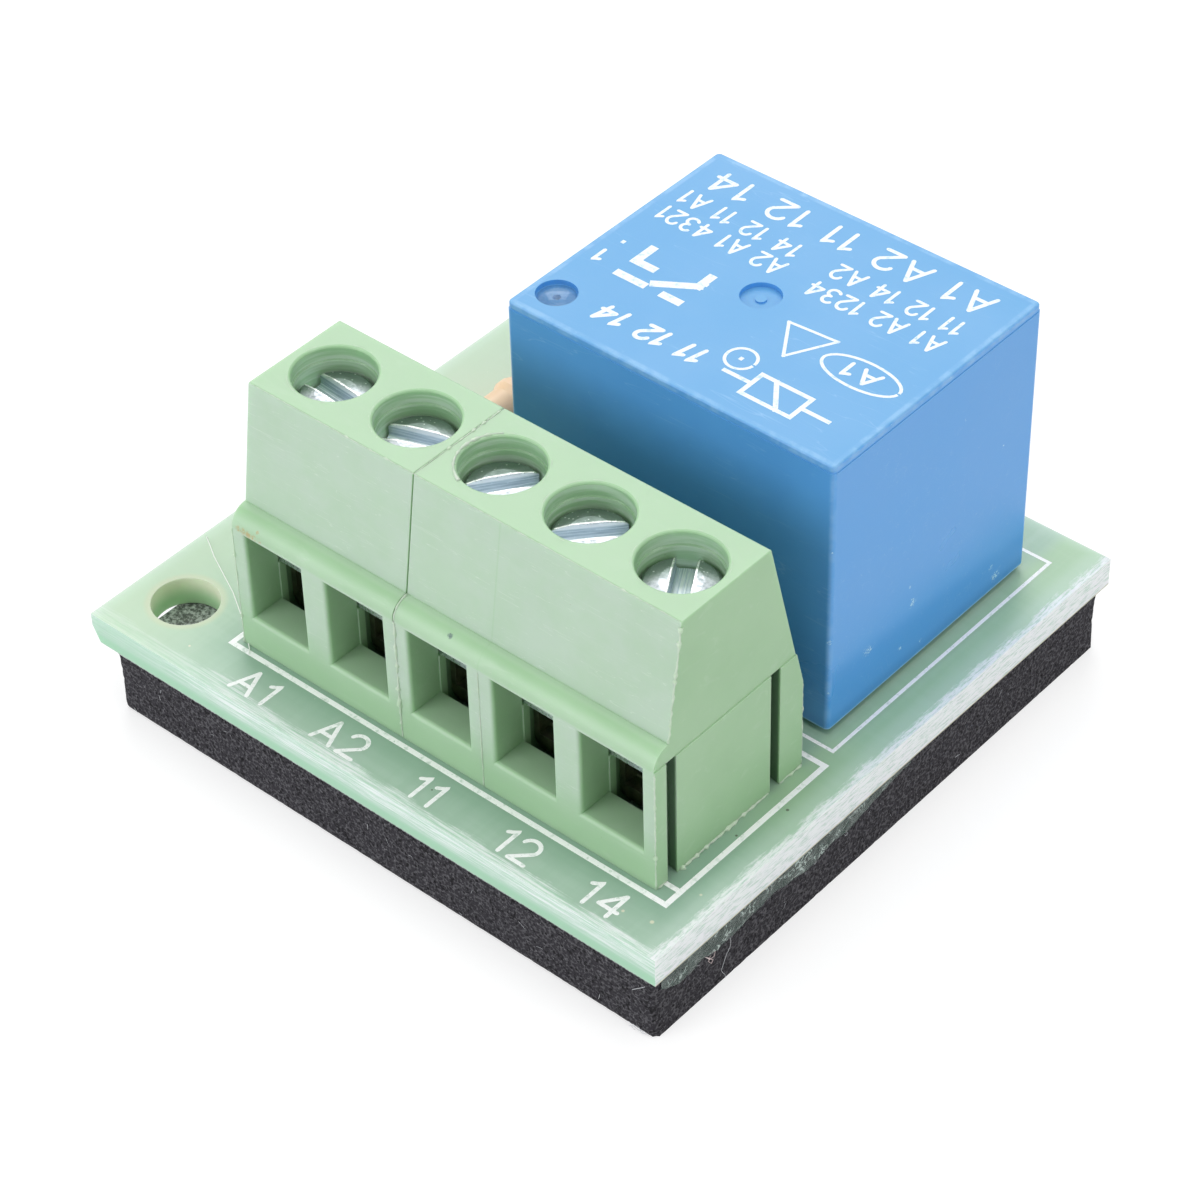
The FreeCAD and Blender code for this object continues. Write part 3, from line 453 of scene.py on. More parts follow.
def boardLaminate():
    look = laminate
    mat, shader, space = startMaterial("boardLaminate", roughness=0.36, specular=0.5)
    x, y, z = axesOf(space)
    facing = facingOf(space)
    halfX, halfY = boardHigh.x, boardHigh.y
    mist = noiseOf(space, 0.11, 2)
    # greener close to the block and the relay: partly their flux, partly painted shade from them
    shadeNearBlock = bandOf(y, blockLow.y - 1.2, 16.0, 0.9)
    tone = scaledOf(mist, 0.6, timesOf(shadeNearBlock, 0.45))
    ground = blendOf(minusOf(tone, 0.1, clamp=True), look["pale"], look["deep"])
    # glass cloth showing faintly through the lacquer
    warp = noiseOf(mapped(space, scale=(2.6, 0.16, 1)), 1.0, 1)
    weft = noiseOf(mapped(space, scale=(0.16, 2.6, 1)), 1.0, 1)
    cloth = rangeOf(mathOf("ADD", warp, weft), 0.8, 1.25)
    ground = blendOf(cloth, ground, look["halo"], 0.12)
    # yellowed flux round the small resistor
    flux = spotOf(space, (-12.0, 5.5, boardTop), 8.5, 1.0)
    ground = blendOf(flux, ground, look["flux"], 0.85)
    # yellower and paler toward the left
    faded = timesOf(rangeOf(x, -18.0, -8.5, 1.0, 0.0), rangeOf(mist, 0.2, 0.8, 0.75, 1.0))
    ground = blendOf(faded, ground, look["faded"], 0.9)
    # painted shade: deeper green round the foot of the block
    overX = mostOf(minusOf(blockLow.x, x), minusOf(x, blockHigh.x))
    overY = mostOf(minusOf(blockLow.y, y), minusOf(y, blockLow.y + 10.2))
    away = mostOf(overX, overY)
    foot = timesOf(rangeOf(away, 0.0, 2.6, 1.0, 0.0), rangeOf(x, -12.5, -8.5, 0.25, 1.0))
    ground = blendOf(foot, ground, look["foot"], 0.75)
    # fresher green on the strip right of the relay
    strip = timesOf(rangeOf(x, 14.4, 15.4), rangeOf(y, -11.0, -4.0))
    ground = blendOf(strip, ground, look["fresh"], 0.40)
    # dust and specks
    dust = rangeOf(noiseOf(space, 2.3, 3, 0.7), 0.745, 0.78)
    ground = blendOf(dust, ground, (0.72, 0.74, 0.64), 0.5)
    for specks, colour in ((look["creamSpecks"], (0.74, 0.72, 0.56)), (look["darkSpecks"], (0.08, 0.09, 0.06))):
        mask = mostOf(*[spotOf(space, (sx, sy, boardTop), r) for sx, sy, r in specks])
        ground = blendOf(mask, ground, colour, 0.85)
    # crazing: strong at the right edge, fading to the left along the front
    depth = minusOf(boardTop, z)
    toRight = minusOf(minusOf(halfX, x), depth)
    toFront = minusOf(mathOf("ADD", halfY, y), depth)
    toLeft = mathOf("ADD", halfX, x)
    toBack = minusOf(halfY, y)
    rightFibres = fibresOf(y, toRight, 1.1)
    frontFibres = fibresOf(x, toFront, 0.30)
    rightCrazing = crazingOf(space, rightFibres, toRight, look["rightCrazing"])
    leftPart = minusOf(toFront, rangeOf(x, -12.0, 3.0, 0.35, 0.0))
    frontCrazing = timesOf(crazingOf(space, frontFibres, leftPart, look["frontCrazing"]),
                           rangeOf(x, -14.0, -6.0, 0.25, 0.85))
    pale = mostOf(rangeOf(toLeft, 0.0, 0.9, 0.35, 0.0), rangeOf(toBack, 0.0, 0.7, 0.30, 0.0),
                  rangeOf(toRight, 0.6, 1.5, 0.35, 0.0))
    rightTone = blendOf(rangeOf(rightFibres, 0.38, 0.53), look["fibreGap"], look["fibre"])
    frontTone = blendOf(rangeOf(frontFibres, 0.36, 0.62), look["frontEdge"], look["fibre"])
    top = blendOf(pale, ground, look["halo"])
    top = blendOf(frontCrazing, top, frontTone)
    top = blendOf(rightCrazing, top, rightTone, 0.95)
    # sawn faces, greener low on the front one
    height = minusOf(z, boardLow.z)
    streaked = timesOf(rangeOf(frontFibres, 0.40, 0.62, 0.10, 0.85),
                       rangeOf(x, -15.0, -7.0, 0.30, 1.0))
    nearTop = rangeOf(height, 0.35, 1.05)
    front = blendOf(timesOf(streaked, nearTop), look["frontEdge"], look["fibre"])
    front = blendOf(rangeOf(height, 0.25, 0.70, 1.0, 0.0), front, look["frontEdgeLow"])
    right = blendOf(rangeOf(height, 0.03, 0.10, 0.75, 0.0), rightTone, (0.50, 0.48, 0.24))
    other = blendOf(rangeOf(frontFibres, 0.4, 0.7, 0.0, 0.4), look["otherEdge"], look["halo"])
    side = blendOf(rangeOf(facing[1], -0.7, -0.4, 1.0, 0.0), other, front)
    side = blendOf(rangeOf(facing[0], 0.4, 0.7), side, right)
    isTop = rangeOf(mathOf("ABSOLUTE", facing[2]), 0.3, 0.7)
    colour = blendOf(isTop, side, top)
    crazing = mostOf(rightCrazing, frontCrazing)
    layers = mostOf(rightFibres, frontFibres)
    # yellowish ring and bright wall at the drilled hole
    holeX, holeY = look["holePlace"]
    flatSpace = mapped(space, scale=(1, 1, 0))
    ring = spotOf(flatSpace, (holeX, holeY, 0), 2.15, 0.16)
    colour = blendOf(ring, colour, look["holeRing"], 0.75)
    wall = timesOf(spotOf(flatSpace, (holeX, holeY, 0), 1.76, 0.02), minusOf(1.0, isTop))
    lit = blendOf(rangeOf(height, 0.3, 1.3), look["holeWallLow"], look["holeWall"])
    colour = blendOf(wall, colour, lit)
    paint(shader, colour)
    smooth = timesOf(isTop, minusOf(1.0, crazing))
    feed(shader.inputs["Roughness"], rangeOf(smooth, 0, 1, 0.75, 0.42))
    soften(shader, 0.35, (1.0, 1.4, 1.0), 0.0008)
    rough = timesOf(layers, mostOf(crazing, minusOf(1.0, isTop)))
    bump(shader, scaledOf(cloth, 0.1, rough), 0.4, 0.00004)
    return mat


def plainMetal(name, first, second, roughness, grainScale):
    mat, shader, space = startMaterial(name, roughness, 1.0)
    stain = noiseOf(space, 0.9, 4, 0.6)
    paint(shader, blendOf(rangeOf(stain, 0.3, 0.7), first, second))
    grain = noiseOf(space, grainScale, 3)
    feed(shader.inputs["Roughness"], rangeOf(grain, 0.3, 0.7, roughness - 0.06, roughness + 0.08))
    bump(shader, grain, 0.2, 0.00002)
    return mat


def plainPlastic(name, first, second, roughness):
    mat, shader, space = startMaterial(name, roughness)
    paint(shader, blendOf(noiseOf(space, 0.6, 3), first, second))
    bump(shader, noiseOf(space, 6.0, 3), 0.2, 0.00002)
    return mat


wear(boardLaminate(), "circuit_board")
wear(plainMetal("copperFoil", (0.86, 0.47, 0.30), (0.55, 0.28, 0.17), 0.42, 9.0), "copper_tracks")
wear(plainMetal("solderTin", (0.66, 0.67, 0.68), (0.86, 0.87, 0.88), 0.26, 3.5), "solder_joints")
print("circuit board finished")

# terminal housings
terminalLook = {
    "base": (0.355, 0.555, 0.335),
    "shade": (0.325, 0.525, 0.305),
    "pale": (0.43, 0.60, 0.42),
    "frontSheen": (0.50, 0.60, 0.525),  # painted sheen: paler front faces, standing in for the light they reflect
    "frontSheenShare": 0.62,
    # painted shade in the grooves
    "grooveShade": (0.07, 0.14, 0.08),
    # painted reflection bands on the screw-hole walls, and painted shade on their step
    "wall": (0.31, 0.53, 0.30),
    "wallReflection": (0.52, 0.68, 0.53),
    "stepShade": (0.16, 0.32, 0.15),
    "roughness": 0.45,
    "darkSpecks": ((2.88, -13.35, 13.2, 0.20), (-3.48, -13.3, 14.9, 0.09)),
    "brownSpecks": ((-10.05, -13.65, 12.65, 0.22), (-9.75, -13.65, 12.62, 0.26), (-9.40, -13.65, 12.60, 0.26),
                    (-9.05, -13.65, 12.60, 0.24), (-8.70, -13.65, 12.60, 0.20), (-8.85, -13.6, 12.95, 0.14)),
}


def terminalPlastic():
    look = terminalLook
    mat, shader, space = startMaterial("terminalPlastic", look["roughness"], 0.0, 0.6)
    x, y, z = axesOf(space)
    facing = facingOf(space)
    clouds = noiseOf(space, 0.22, 3, 0.55)
    colour = blendOf(rangeOf(clouds, 0.3, 0.7), look["shade"], look["base"])
    # flow marks and rubbed patches from the mould
    flow = noiseOf(mapped(space, scale=(0.35, 1.0, 1.6), turn=(0.5, 0.2, 0.9)), 1.0, 4, 0.6, 0.8)
    colour = blendOf(rangeOf(flow, 0.56, 0.72, 0.0, 0.35), colour, look["pale"])
    # paler where it faces up
    colour = blendOf(rangeOf(facing[2], 0.90, 0.98, 0.0, 0.55), colour, look["pale"])
    # painted sheen on the front faces, patchy and weaker on the ledge
    outer = rangeOf(y, blockLow.y + 2.0, blockLow.y + 2.2, 1.0, 0.0)
    front = timesOf(rangeOf(facing[1], -0.95, -0.45, 1.0, 0.0), outer,
                    rangeOf(z, boardTop + 0.6, boardTop + 4.0, 0.05, 1.0))
    ledge = bandOf(z, boardTop + 7.15, boardTop + 8.15, 0.12)
    front = timesOf(front, rangeOf(ledge, 0.0, 1.0, 1.0, 0.35))
    patchy = rangeOf(noiseOf(space, 0.5, 3, 0.6), 0.3, 0.7, 0.8, 1.1)
    colour = blendOf(timesOf(front, patchy, look["frontSheenShare"]), colour, look["frontSheen"])
    # fine scratches on the front
    scored = noiseOf(mapped(space, scale=(0.22, 1, 4.0), turn=(0, 0.5, 0)), 1.0, 2, 0.5, 0.4)
    fine = timesOf(bandOf(scored, 0.585, 0.592, 0.004), front, 0.45)
    colour = blendOf(fine, colour, (0.66, 0.74, 0.66))
    # faint joint line of the mould
    line = timesOf(bandOf(x, blockLow.x + 15.20, blockLow.x + 15.28, 0.03), outer)
    colour = blendOf(line, colour, look["shade"], 0.35)
    # painted shade: dark grooves in the sides
    inGroove = timesOf(rangeOf(x, blockHigh.x - 0.16, blockHigh.x - 0.05, 1.0, 0.0),
                       rangeOf(x, blockHigh.x - 0.72, blockHigh.x - 0.68))
    firstGroove, grooveStep = blockLow.y + 1.11, 7.13
    places = [bandOf(y, firstGroove + k * grooveStep - 0.46, firstGroove + k * grooveStep + 0.46, 0.02)
              for k in range(2)]
    below = rangeOf(z, boardTop + 7.05, boardTop + 7.12, 1.0, 0.0)
    colour = blendOf(timesOf(inGroove, mostOf(*places), below, 0.8), colour, look["grooveShade"])
    # painted shade deep inside the chambers
    chamberShade = timesOf(bandOf(y, blockLow.y + 2.32, blockLow.y + 7.4, 0.04),
                     bandOf(z, boardTop - 0.2, boardTop + 9.2, 0.02),
                     bandOf(x, blockLow.x + 0.50, blockHigh.x - 0.58, 0.02))
    colour = blendOf(chamberShade, colour, (0.10, 0.20, 0.10), 0.8)
    for spots, tint in ((look["darkSpecks"], (0.03, 0.06, 0.10)), (look["brownSpecks"], (0.44, 0.31, 0.12))):
        grit = rangeOf(noiseOf(space, 5.0, 3, 0.6), 0.42, 0.58)
        mask = mostOf(*[spotOf(space, (sx, sy, sz), r, 0.6) for sx, sy, sz, r in spots])
        colour = blendOf(timesOf(mask, grit, 0.8), colour, tint)
    # polished walls of the screw holes, with lighter and darker bands as a painted reflection, and a painted shade
    # on the step
    flatSpace = mapped(space, scale=(1, 1, 0))
    bores = [spotOf(flatSpace, (wx, screwY, 0), 2.20, 0.02) for wx in wayX]
    reflectionBands = noiseOf(mapped(space, scale=(0.22, 0.22, 3.6)), 1.0, 3, 0.6)
    below = bandOf(z, blockHigh.z - 6.0, blockHigh.z - 0.14, 0.03)
    polished = timesOf(mostOf(*bores), below)
    wall = blendOf(rangeOf(reflectionBands, 0.38, 0.64), look["wall"], look["wallReflection"])
    colour = blendOf(polished, colour, wall, 0.85)
    stepShade = timesOf(polished, rangeOf(facing[2], 0.3, 0.7))
    colour = blendOf(stepShade, colour, look["stepShade"], 0.75)
    feed(shader.inputs["Roughness"], rangeOf(polished, 0.0, 1.0, look["roughness"], 0.30))
    burnt = rangeOf(noiseOf(space, 3.1, 2, 0.5), 0.80, 0.82)
    colour = blendOf(burnt, colour, (0.16, 0.15, 0.08), 0.5)
    paint(shader, colour)
    soften(shader, 0.35, (0.9, 1.3, 0.8), 0.0006)
    grain = noiseOf(space, 7.0, 3, 0.6)
    height = scaledOf(flow, 0.8, grain)
    bump(shader, mathOf("ADD", height, timesOf(fine, 2.0)), 0.18, 0.00003)
    return mat


wear(terminalPlastic(), "terminal_housing_left", "terminal_housing_right")
print("terminal housings finished")

# flash of the mould on edges and along the joint of the housings, and a pale lip at each screw hole as a painted
# highlight
flashLook = {
    "colour": (0.66, 0.77, 0.62),
    "thread": 0.10,
    "step": 0.16,
    "fatShare": 2.4,  # how much thicker the blobs are
    "shelf": 7.1,  # top of the straight front, over the board
    "ledge": 8.1,
    "depth": 10.2,
    "rimReach": 2.15,
    "lipReach": 2.17,
}


def unevenThread(count, low, high):
    return [flashLook["thread"] * random.uniform(low, high) for k in range(count)]


# a shaky thread from start to end
def flashLine(start, end, share, wobble, blobs):
    start, end = Vector(start), Vector(end)
    count = max(3, int((end - start).length / flashLook["step"]))
    points, widths = [], []
    for k in range(count + 1):
        shake = Vector([random.uniform(-1, 1) for axis in range(3)]) * wobble
        points.append(start.lerp(end, k / count) + shake)
        fat = flashLook["fatShare"] if random.random() < blobs else 1.0
        widths.append(flashLook["thread"] * share * random.uniform(0.45, 1.1) * fat)
    return points, widths


def makeFlash():
    look = flashLook
    left, right, front, top, foot = blockLow.x, blockHigh.x, blockLow.y, blockHigh.z, boardTop
    shelf, ledge, rear = foot + look["shelf"], foot + look["ledge"], front + look["depth"]
    # start, end, share of the thread, wobble, share of blobs
    lines = [flashLine(*facts) for facts in (
        ((right - 0.07, front + 1.93, top - 0.3), (right - 0.07, front + 1.0, ledge), 1.3, 0.022, 0.22),
        ((right - 0.01, front, shelf - 0.1), (right - 0.01, front, foot + 0.05), 1.0, 0.010, 0.08),
        ((right, front + 1.6, foot + 0.03), (right, front + 7.8, foot + 0.03), 1.5, 0.02, 0.30),
        ((right, front + 0.1, foot + 0.03), (right, front + 0.7, foot + 0.03), 1.2, 0.02, 0.2),
        ((right, front + 8.6, foot + 0.03), (right, rear, foot + 0.03), 1.2, 0.02, 0.2),
        ((right - 0.02, rear, foot + 5.0), (right - 0.02, rear, foot + 0.1), 0.8, 0.010, 0.1),
        ((seamX + 0.06, front, shelf), (seamX + 0.04, front, foot + 0.1), 1.3, 0.026, 0.26),
        ((seamX, front + 1.95, top), (seamX, front + 7.8, top), 0.75, 0.010, 0.08),
        ((left + 15.24, front, shelf - 0.1), (left + 15.24, front, foot + 0.05), 0.9, 0.010, 0.10),
        ((left + 0.01, front, shelf), (left + 0.01, front, foot + 0.1), 0.9, 0.010, 0.1),
        ((left + 0.3, front + 1.97, top - 0.02), (right - 0.2, front + 1.97, top - 0.02), 0.55, 0.006, 0.03),
    )]
    # over the rounded ledge, where the two housings meet
    bend = [(front + 1.0 - v, shelf + u) for v, u in arcOf(0, 0, 1.0, 1.0, 0, 90, 8)]
    lines.append(([(seamX + 0.03, y, z) for y, z in bend], unevenThread(len(bend), 0.5, 1.3)))
    # ragged rim of the third screw hole, and a fine pale lip at every hole, a painted highlight of the rim
    rim = arcOf(wayX[2], screwY, look["rimReach"], look["rimReach"], 130, 250, 30)
    lines.append(([(x, y, top - 0.01) for x, y in rim], unevenThread(len(rim), 0.5, 2.2)))
    for x in wayX:
        lip = arcOf(x, screwY, look["lipReach"], look["lipReach"], 0, 360, 60)
        lines.append(([(x, y, top - 0.02) for x, y in lip], unevenThread(len(lip), 0.3, 0.55)))
    mat, shader, space = startMaterial("mouldFlash", 0.42, 0.0, 0.6)
    paint(shader, blendOf(noiseOf(space, 2.0, 3), look["colour"], terminalLook["base"]))
    soften(shader, 0.4, (0.9, 1.3, 0.8), 0.0004)
    bump(shader, noiseOf(space, 9.0, 2), 0.2, 0.00002)
    newPiece("mouldFlash", penStrokes(lines), mat)


makeFlash()
print("mould flash made")

# clamp screws, cages and contact strips
screwLook = {
    "slotAngles": (175, 19, 54, 48, 121),  # degrees from +X
    "slotWidth": 1.02,
    "slotReach": 1.60,  # of the burrs, from the middle
    "domeReach": 0.985,
    "domeSlope": 0.033,
    "domeFall": 0.032,
    "shoulderSlope": 0.196,  # beyond the dome
    "bright": (0.46, 0.49, 0.52),
    "dull": (0.30, 0.34, 0.36),
    # painted reflection of the dark surroundings on half of the head
    "darkReflection": (0.19, 0.25, 0.22),
    "pits": (0.66, 0.72, 0.70),
    "burr": 0.10,
    "slotBright": (0.86, 0.92, 0.97),
    "slotDull": (0.46, 0.56, 0.64),
    "roughness": 0.32,
}


def zincPlate(number):
    look = screwLook
    mat, shader, space = startMaterial(f"zincPlate{number}", look["roughness"], 1.0)
    low, high = cornersOf(f"clamp_screw_{number}")
    middle = (low + high) / 2
    turn = math.radians(look["slotAngles"][number - 1])
    centred = mapped(space, shift=(-middle.x, -middle.y, -high.z))
    along = mapped(centred, turn=(0, 0, -turn))
    across, height = axesOf(along)[1], axesOf(centred)[2]
    drawn = noiseOf(mapped(along, scale=(0.35, 16, 16)), 1.0, 3, 0.65)  # brushed along the slot
    pits = noiseOf(space, 4.2, 4, 0.6)
    half = look["slotWidth"] / 2
    fromMiddle = mathOf("ABSOLUTE", across)
    inSlot = timesOf(rangeOf(fromMiddle, half - 0.01, half + 0.03, 1.0, 0.0),
                     rangeOf(height, -1.1, -1.0))
    face = blendOf(rangeOf(pits, 0.46, 0.72), look["bright"], look["dull"])
    # painted reflection: dark greenish on the half of the head that reflects the dark surroundings, with bright pits
    sideways = axesOf(mapped(centred, turn=(0, 0, math.radians(-45))))[1]
    stain = rangeOf(scaledOf(pits, 0.8, sideways), 0.25, 1.15)
    darkReflection = blendOf(rangeOf(cellsOf(space, 3.6), 0.13, 0.19, 1.0, 0.0), look["darkReflection"], look["pits"])
    face = blendOf(stain, face, darkReflection, 0.9)
    groove = blendOf(rangeOf(drawn, 0.34, 0.66), look["slotBright"], look["slotDull"])
    colour = blendOf(inSlot, face, groove)
    # bright burr along both lips of the slot
    lip = timesOf(bandOf(fromMiddle, half - 0.02, half + 0.07, 0.02), rangeOf(height, -0.32, -0.22))
    colour = blendOf(lip, colour, (0.95, 0.96, 0.97))
    paint(shader, colour)
    marks = blendOf(inSlot, pits, drawn)
    feed(shader.inputs["Roughness"], rangeOf(marks, 0.3, 0.75, 0.34, 0.52))
    bump(shader, marks, 0.45, 0.00004)
    return mat


# torn metal along both lips of the slot
def makeBurrs(number, mat):
    look = screwLook
    low, high = cornersOf(f"clamp_screw_{number}")
    middle = (low + high) / 2
    turn = Matrix.Rotation(math.radians(look["slotAngles"][number - 1]), 3, "Z")
    lines = []
    for side in (-1, 1):
        points, widths = [], []
        for k in range(41):
            along = (k / 20 - 1) * look["slotReach"]
            aside = side * (look["slotWidth"] / 2 + 0.012) + random.uniform(-0.012, 0.012)
            # the burr follows the low dome and its rounded shoulder
            reach = math.hypot(along, aside)
            beyond = reach - look["domeReach"]
            fall = reach * look["domeSlope"] if beyond < 0 else look["domeFall"] + beyond * look["shoulderSlope"]
            place = turn @ Vector((along, aside, 0))
            points.append((middle.x + place.x, middle.y + place.y, high.z - (fall + 0.006)))
            widths.append(look["burr"] * random.uniform(0.35, 1.0))
        lines.append((points, widths))
    newPiece(f"slotBurr{number}", penStrokes(lines), mat, f"screw_{number}")


burrFinish = plainMetal("burrFinish", (0.86, 0.87, 0.88), (0.95, 0.95, 0.95), 0.30, 9.0)
# the cages are painted dark olive: painted shade and a painted green reflection of the dark chambers
shadedCageFinish = plainMetal("shadedCageBrass", (0.17, 0.21, 0.14), (0.32, 0.34, 0.22), 0.40, 8.0)
stripFinish = plainMetal("tinnedStrip", (0.50, 0.55, 0.60), (0.80, 0.82, 0.84), 0.30, 9.0)
for number in range(1, wayCount + 1):
    wear(zincPlate(number), f"clamp_screw_{number}")
    makeBurrs(number, burrFinish)
    wear(shadedCageFinish, f"clamp_cage_{number}")
    wear(stripFinish, f"terminal_contact_{number}")
print("clamps finished")

# relay
relayLook = {
    "base": (0.088, 0.318, 0.675),
    "deep": (0.076, 0.286, 0.635),
    # painted sheen of the right face and the top, and painted reflection of the board low on the right face
    "rightSheen": (0.086, 0.355, 0.770),
    "rightBoardReflection": (0.050, 0.290, 0.690),
    "topSheen": (0.118, 0.366, 0.655),
    "rubbed": (0.34, 0.58, 0.82),
    "roughness": 0.42,
    # y, z and radius
    "rightScuffs": ((1.57, 8.66, 0.50), (4.06, 7.03, 0.26), (5.62, 6.42, 0.22), (11.52, 6.45, 0.50),
                    (11.1, 7.2, 0.24), (4.9, 9.3, 0.42), (4.6, 10.4, 0.20), (11.45, 14.45, 0.18),
                    (0.90, 13.66, 0.15), (8.3, 17.9, 0.12)),
    "cornerScuffs": ((14.66, -1.3, 11.1, 0.30), (14.66, -1.3, 16.4, 0.14), (14.66, -1.3, 8.0, 0.16)),
    "topSpecks": ((14.6, 0.9, 0.10), (14.75, 2.7, 0.16), (14.6, 4.6, 0.09), (14.7, 7.0, 0.14), (14.5, 10.8, 0.08),
                  (9.2, -1.25, 0.10), (3.4, -1.25, 0.08)),
}


def relayBlue():
    look = relayLook
    mat, shader, space = startMaterial("relayBlue", look["roughness"], 0.0, 0.5)
    x, y, z = axesOf(space)
    clouds = noiseOf(space, 0.16, 3, 0.55)
    colour = blendOf(rangeOf(clouds, 0.3, 0.7), look["deep"], look["base"])
    facing = facingOf(space)
    # painted sheen: the right face brighter and the top paler, as the light they reflect
    toRight = rangeOf(facing[0], 0.5, 0.9)
    colour = blendOf(toRight, colour, look["rightSheen"], 0.85)
    colour = blendOf(rangeOf(facing[2], 0.5, 0.9, 0.0, 0.85), colour, look["topSheen"])
    # painted reflection: deeper blue low on the right face, where it reflects the board
    reflectionLine = scaledOf(y, 0.10, minusOf(z, relayLow.z + 3.4))
    colour = blendOf(timesOf(toRight, rangeOf(reflectionLine, -0.7, 0.5, 0.8, 0.0)), colour, look["rightBoardReflection"])
    # fine dust, thicker in patches
    dust = rangeOf(noiseOf(space, 2.6, 4, 0.75), 0.70, 0.78)
    thick = rangeOf(noiseOf(space, 0.25, 2), 0.4, 0.6, 0.25, 1.0)
    colour = blendOf(timesOf(dust, thick, 0.35), colour, look["rubbed"])
    # hairline scratches
    for turn, level in (((0.3, 0.2, 0.5), 0.60), ((1.1, 0.4, 2.0), 0.57)):
        scored = noiseOf(mapped(space, scale=(0.10, 1.3, 1.3), turn=turn), 1.0, 2, 0.4, 0.3)
        fine = timesOf(bandOf(scored, level, level + 0.004, 0.003), thick)
        colour = blendOf(fine, colour, look["rubbed"], 0.30)
    # rubbed pale at the top rim and the upright corners
    left, right = relayLow.x, relayHigh.x
    near, far = relayLow.y, relayHigh.y
    sideX = mathOf("MINIMUM", minusOf(x, left), minusOf(right, x))
    sideY = mathOf("MINIMUM", minusOf(y, near), minusOf(far, y))
    down = minusOf(relayTop, z)
    corner = mathOf("ADD", sideX, sideY)
    rim = mathOf("ADD", mathOf("MINIMUM", sideX, sideY), down)
    worn = mostOf(rangeOf(corner, 0.10, 0.34, 0.25, 0.0), rangeOf(rim, 0.28, 0.40, 0.40, 0.0))
    patchy = rangeOf(noiseOf(space, 1.1, 4, 0.6), 0.38, 0.65, 0.15, 1.0)
    colour = blendOf(timesOf(worn, patchy), colour, look["rubbed"])
    # single scuffs
    ragged = noiseOf(mapped(space, scale=(1, 1, 1.6)), 7.0, 4, 0.7, 0.6)
    scuffs = [spotOf(space, (right, sy, sz), r * 1.5, 1.0) for sy, sz, r in look["rightScuffs"]]
    scuffs += [spotOf(space, (sx, sy, sz), r, 0.7) for sx, sy, sz, r in look["cornerScuffs"]]
    scuffs += [spotOf(space, (sx, sy, relayTop - 0.1), r, 0.7) for sx, sy, r in look["topSpecks"]]
    torn = rangeOf(scaledOf(mostOf(*scuffs), 0.24, ragged), 0.72, 0.78)
    colour = blendOf(torn, colour, (0.50, 0.76, 0.88), 0.85)
    # painted shade darkening the foot, with a worn lower rim
    rise = minusOf(z, relayLow.z)
    colour = blendOf(rangeOf(rise, 0.1, 0.9, 0.3, 0.0), colour, (0.03, 0.17, 0.45))
    colour = blendOf(rangeOf(rise, 0.04, 0.11, 0.6, 0.0), colour, look["rubbed"])
    paint(shader, colour)
    # the top is duller than the upright faces
    level = rangeOf(facing[2], 0.4, 0.9)
    gloss = rangeOf(clouds, 0.3, 0.7, 0.27, 0.35)
    feed(shader.inputs["Roughness"], scaledOf(level, 0.14, gloss))
    soften(shader, 0.12, (0.4, 0.8, 1.2), 0.0005)
    grain = noiseOf(space, 6.0, 3, 0.6)
    waves = timesOf(noiseOf(space, 0.3, 2), 3.0)
    bump(shader, mathOf("ADD", grain, waves), 0.16, 0.00002)
    return mat


def clearGlue():
    mat, shader, space = startMaterial("clearGlue", 0.10, 0.0, 0.9)
    milky = noiseOf(space, 1.6, 3)
    paint(shader, blendOf(rangeOf(milky, 0.35, 0.7), (0.08, 0.28, 0.56), (0.24, 0.48, 0.76)))
    shader.inputs["Alpha"].default_value = 0.28
    shader.inputs["Coat Weight"].default_value = 0.6
    shader.inputs["Coat Roughness"].default_value = 0.05
    bump(shader, noiseOf(space, 1.5, 2), 0.25, 0.00005)
    return mat


def enamelledWire():
    mat, shader, space = startMaterial("enamelledWire", 0.28, 0.6)
    z = axesOf(space)[2]
    turns = mathOf("SINE", timesOf(z, 2 * math.pi / 0.12))
    stain = noiseOf(space, 1.2, 3)
    paint(shader, blendOf(stain, (0.42, 0.13, 0.05), (0.66, 0.27, 0.10)))
    bump(shader, turns, 0.5, 0.00003)
    return mat


wear(relayBlue(), "relay_cover")
wear(clearGlue(), "vent_seal")
wear(plainPlastic("relayBase", (0.03, 0.045, 0.07), (0.05, 0.07, 0.10), 0.5), "relay_base")
wear(plainMetal("magnetIron", (0.56, 0.56, 0.55), (0.74, 0.74, 0.73), 0.34, 7.0),
     "magnet_yoke", "magnet_core", "armature")
wear(plainPlastic("bobbinPlastic", (0.78, 0.78, 0.72), (0.88, 0.88, 0.84), 0.45), "coil_bobbin")
wear(enamelledWire(), "coil_winding")
wear(stripFinish, "coil_pins")
wear(plainMetal("springBronze", (0.70, 0.46, 0.28), (0.84, 0.62, 0.42), 0.27, 9.0), "contact_spring")
wear(plainMetal("contactSilver", (0.80, 0.80, 0.79), (0.92, 0.92, 0.91), 0.22, 9.0), "moving_contact")
wear(plainMetal("contactPlate", (0.70, 0.58, 0.34), (0.84, 0.74, 0.50), 0.30, 8.0),
     "normally_closed_contact", "normally_open_contact", "common_pin")
print("relay finished")


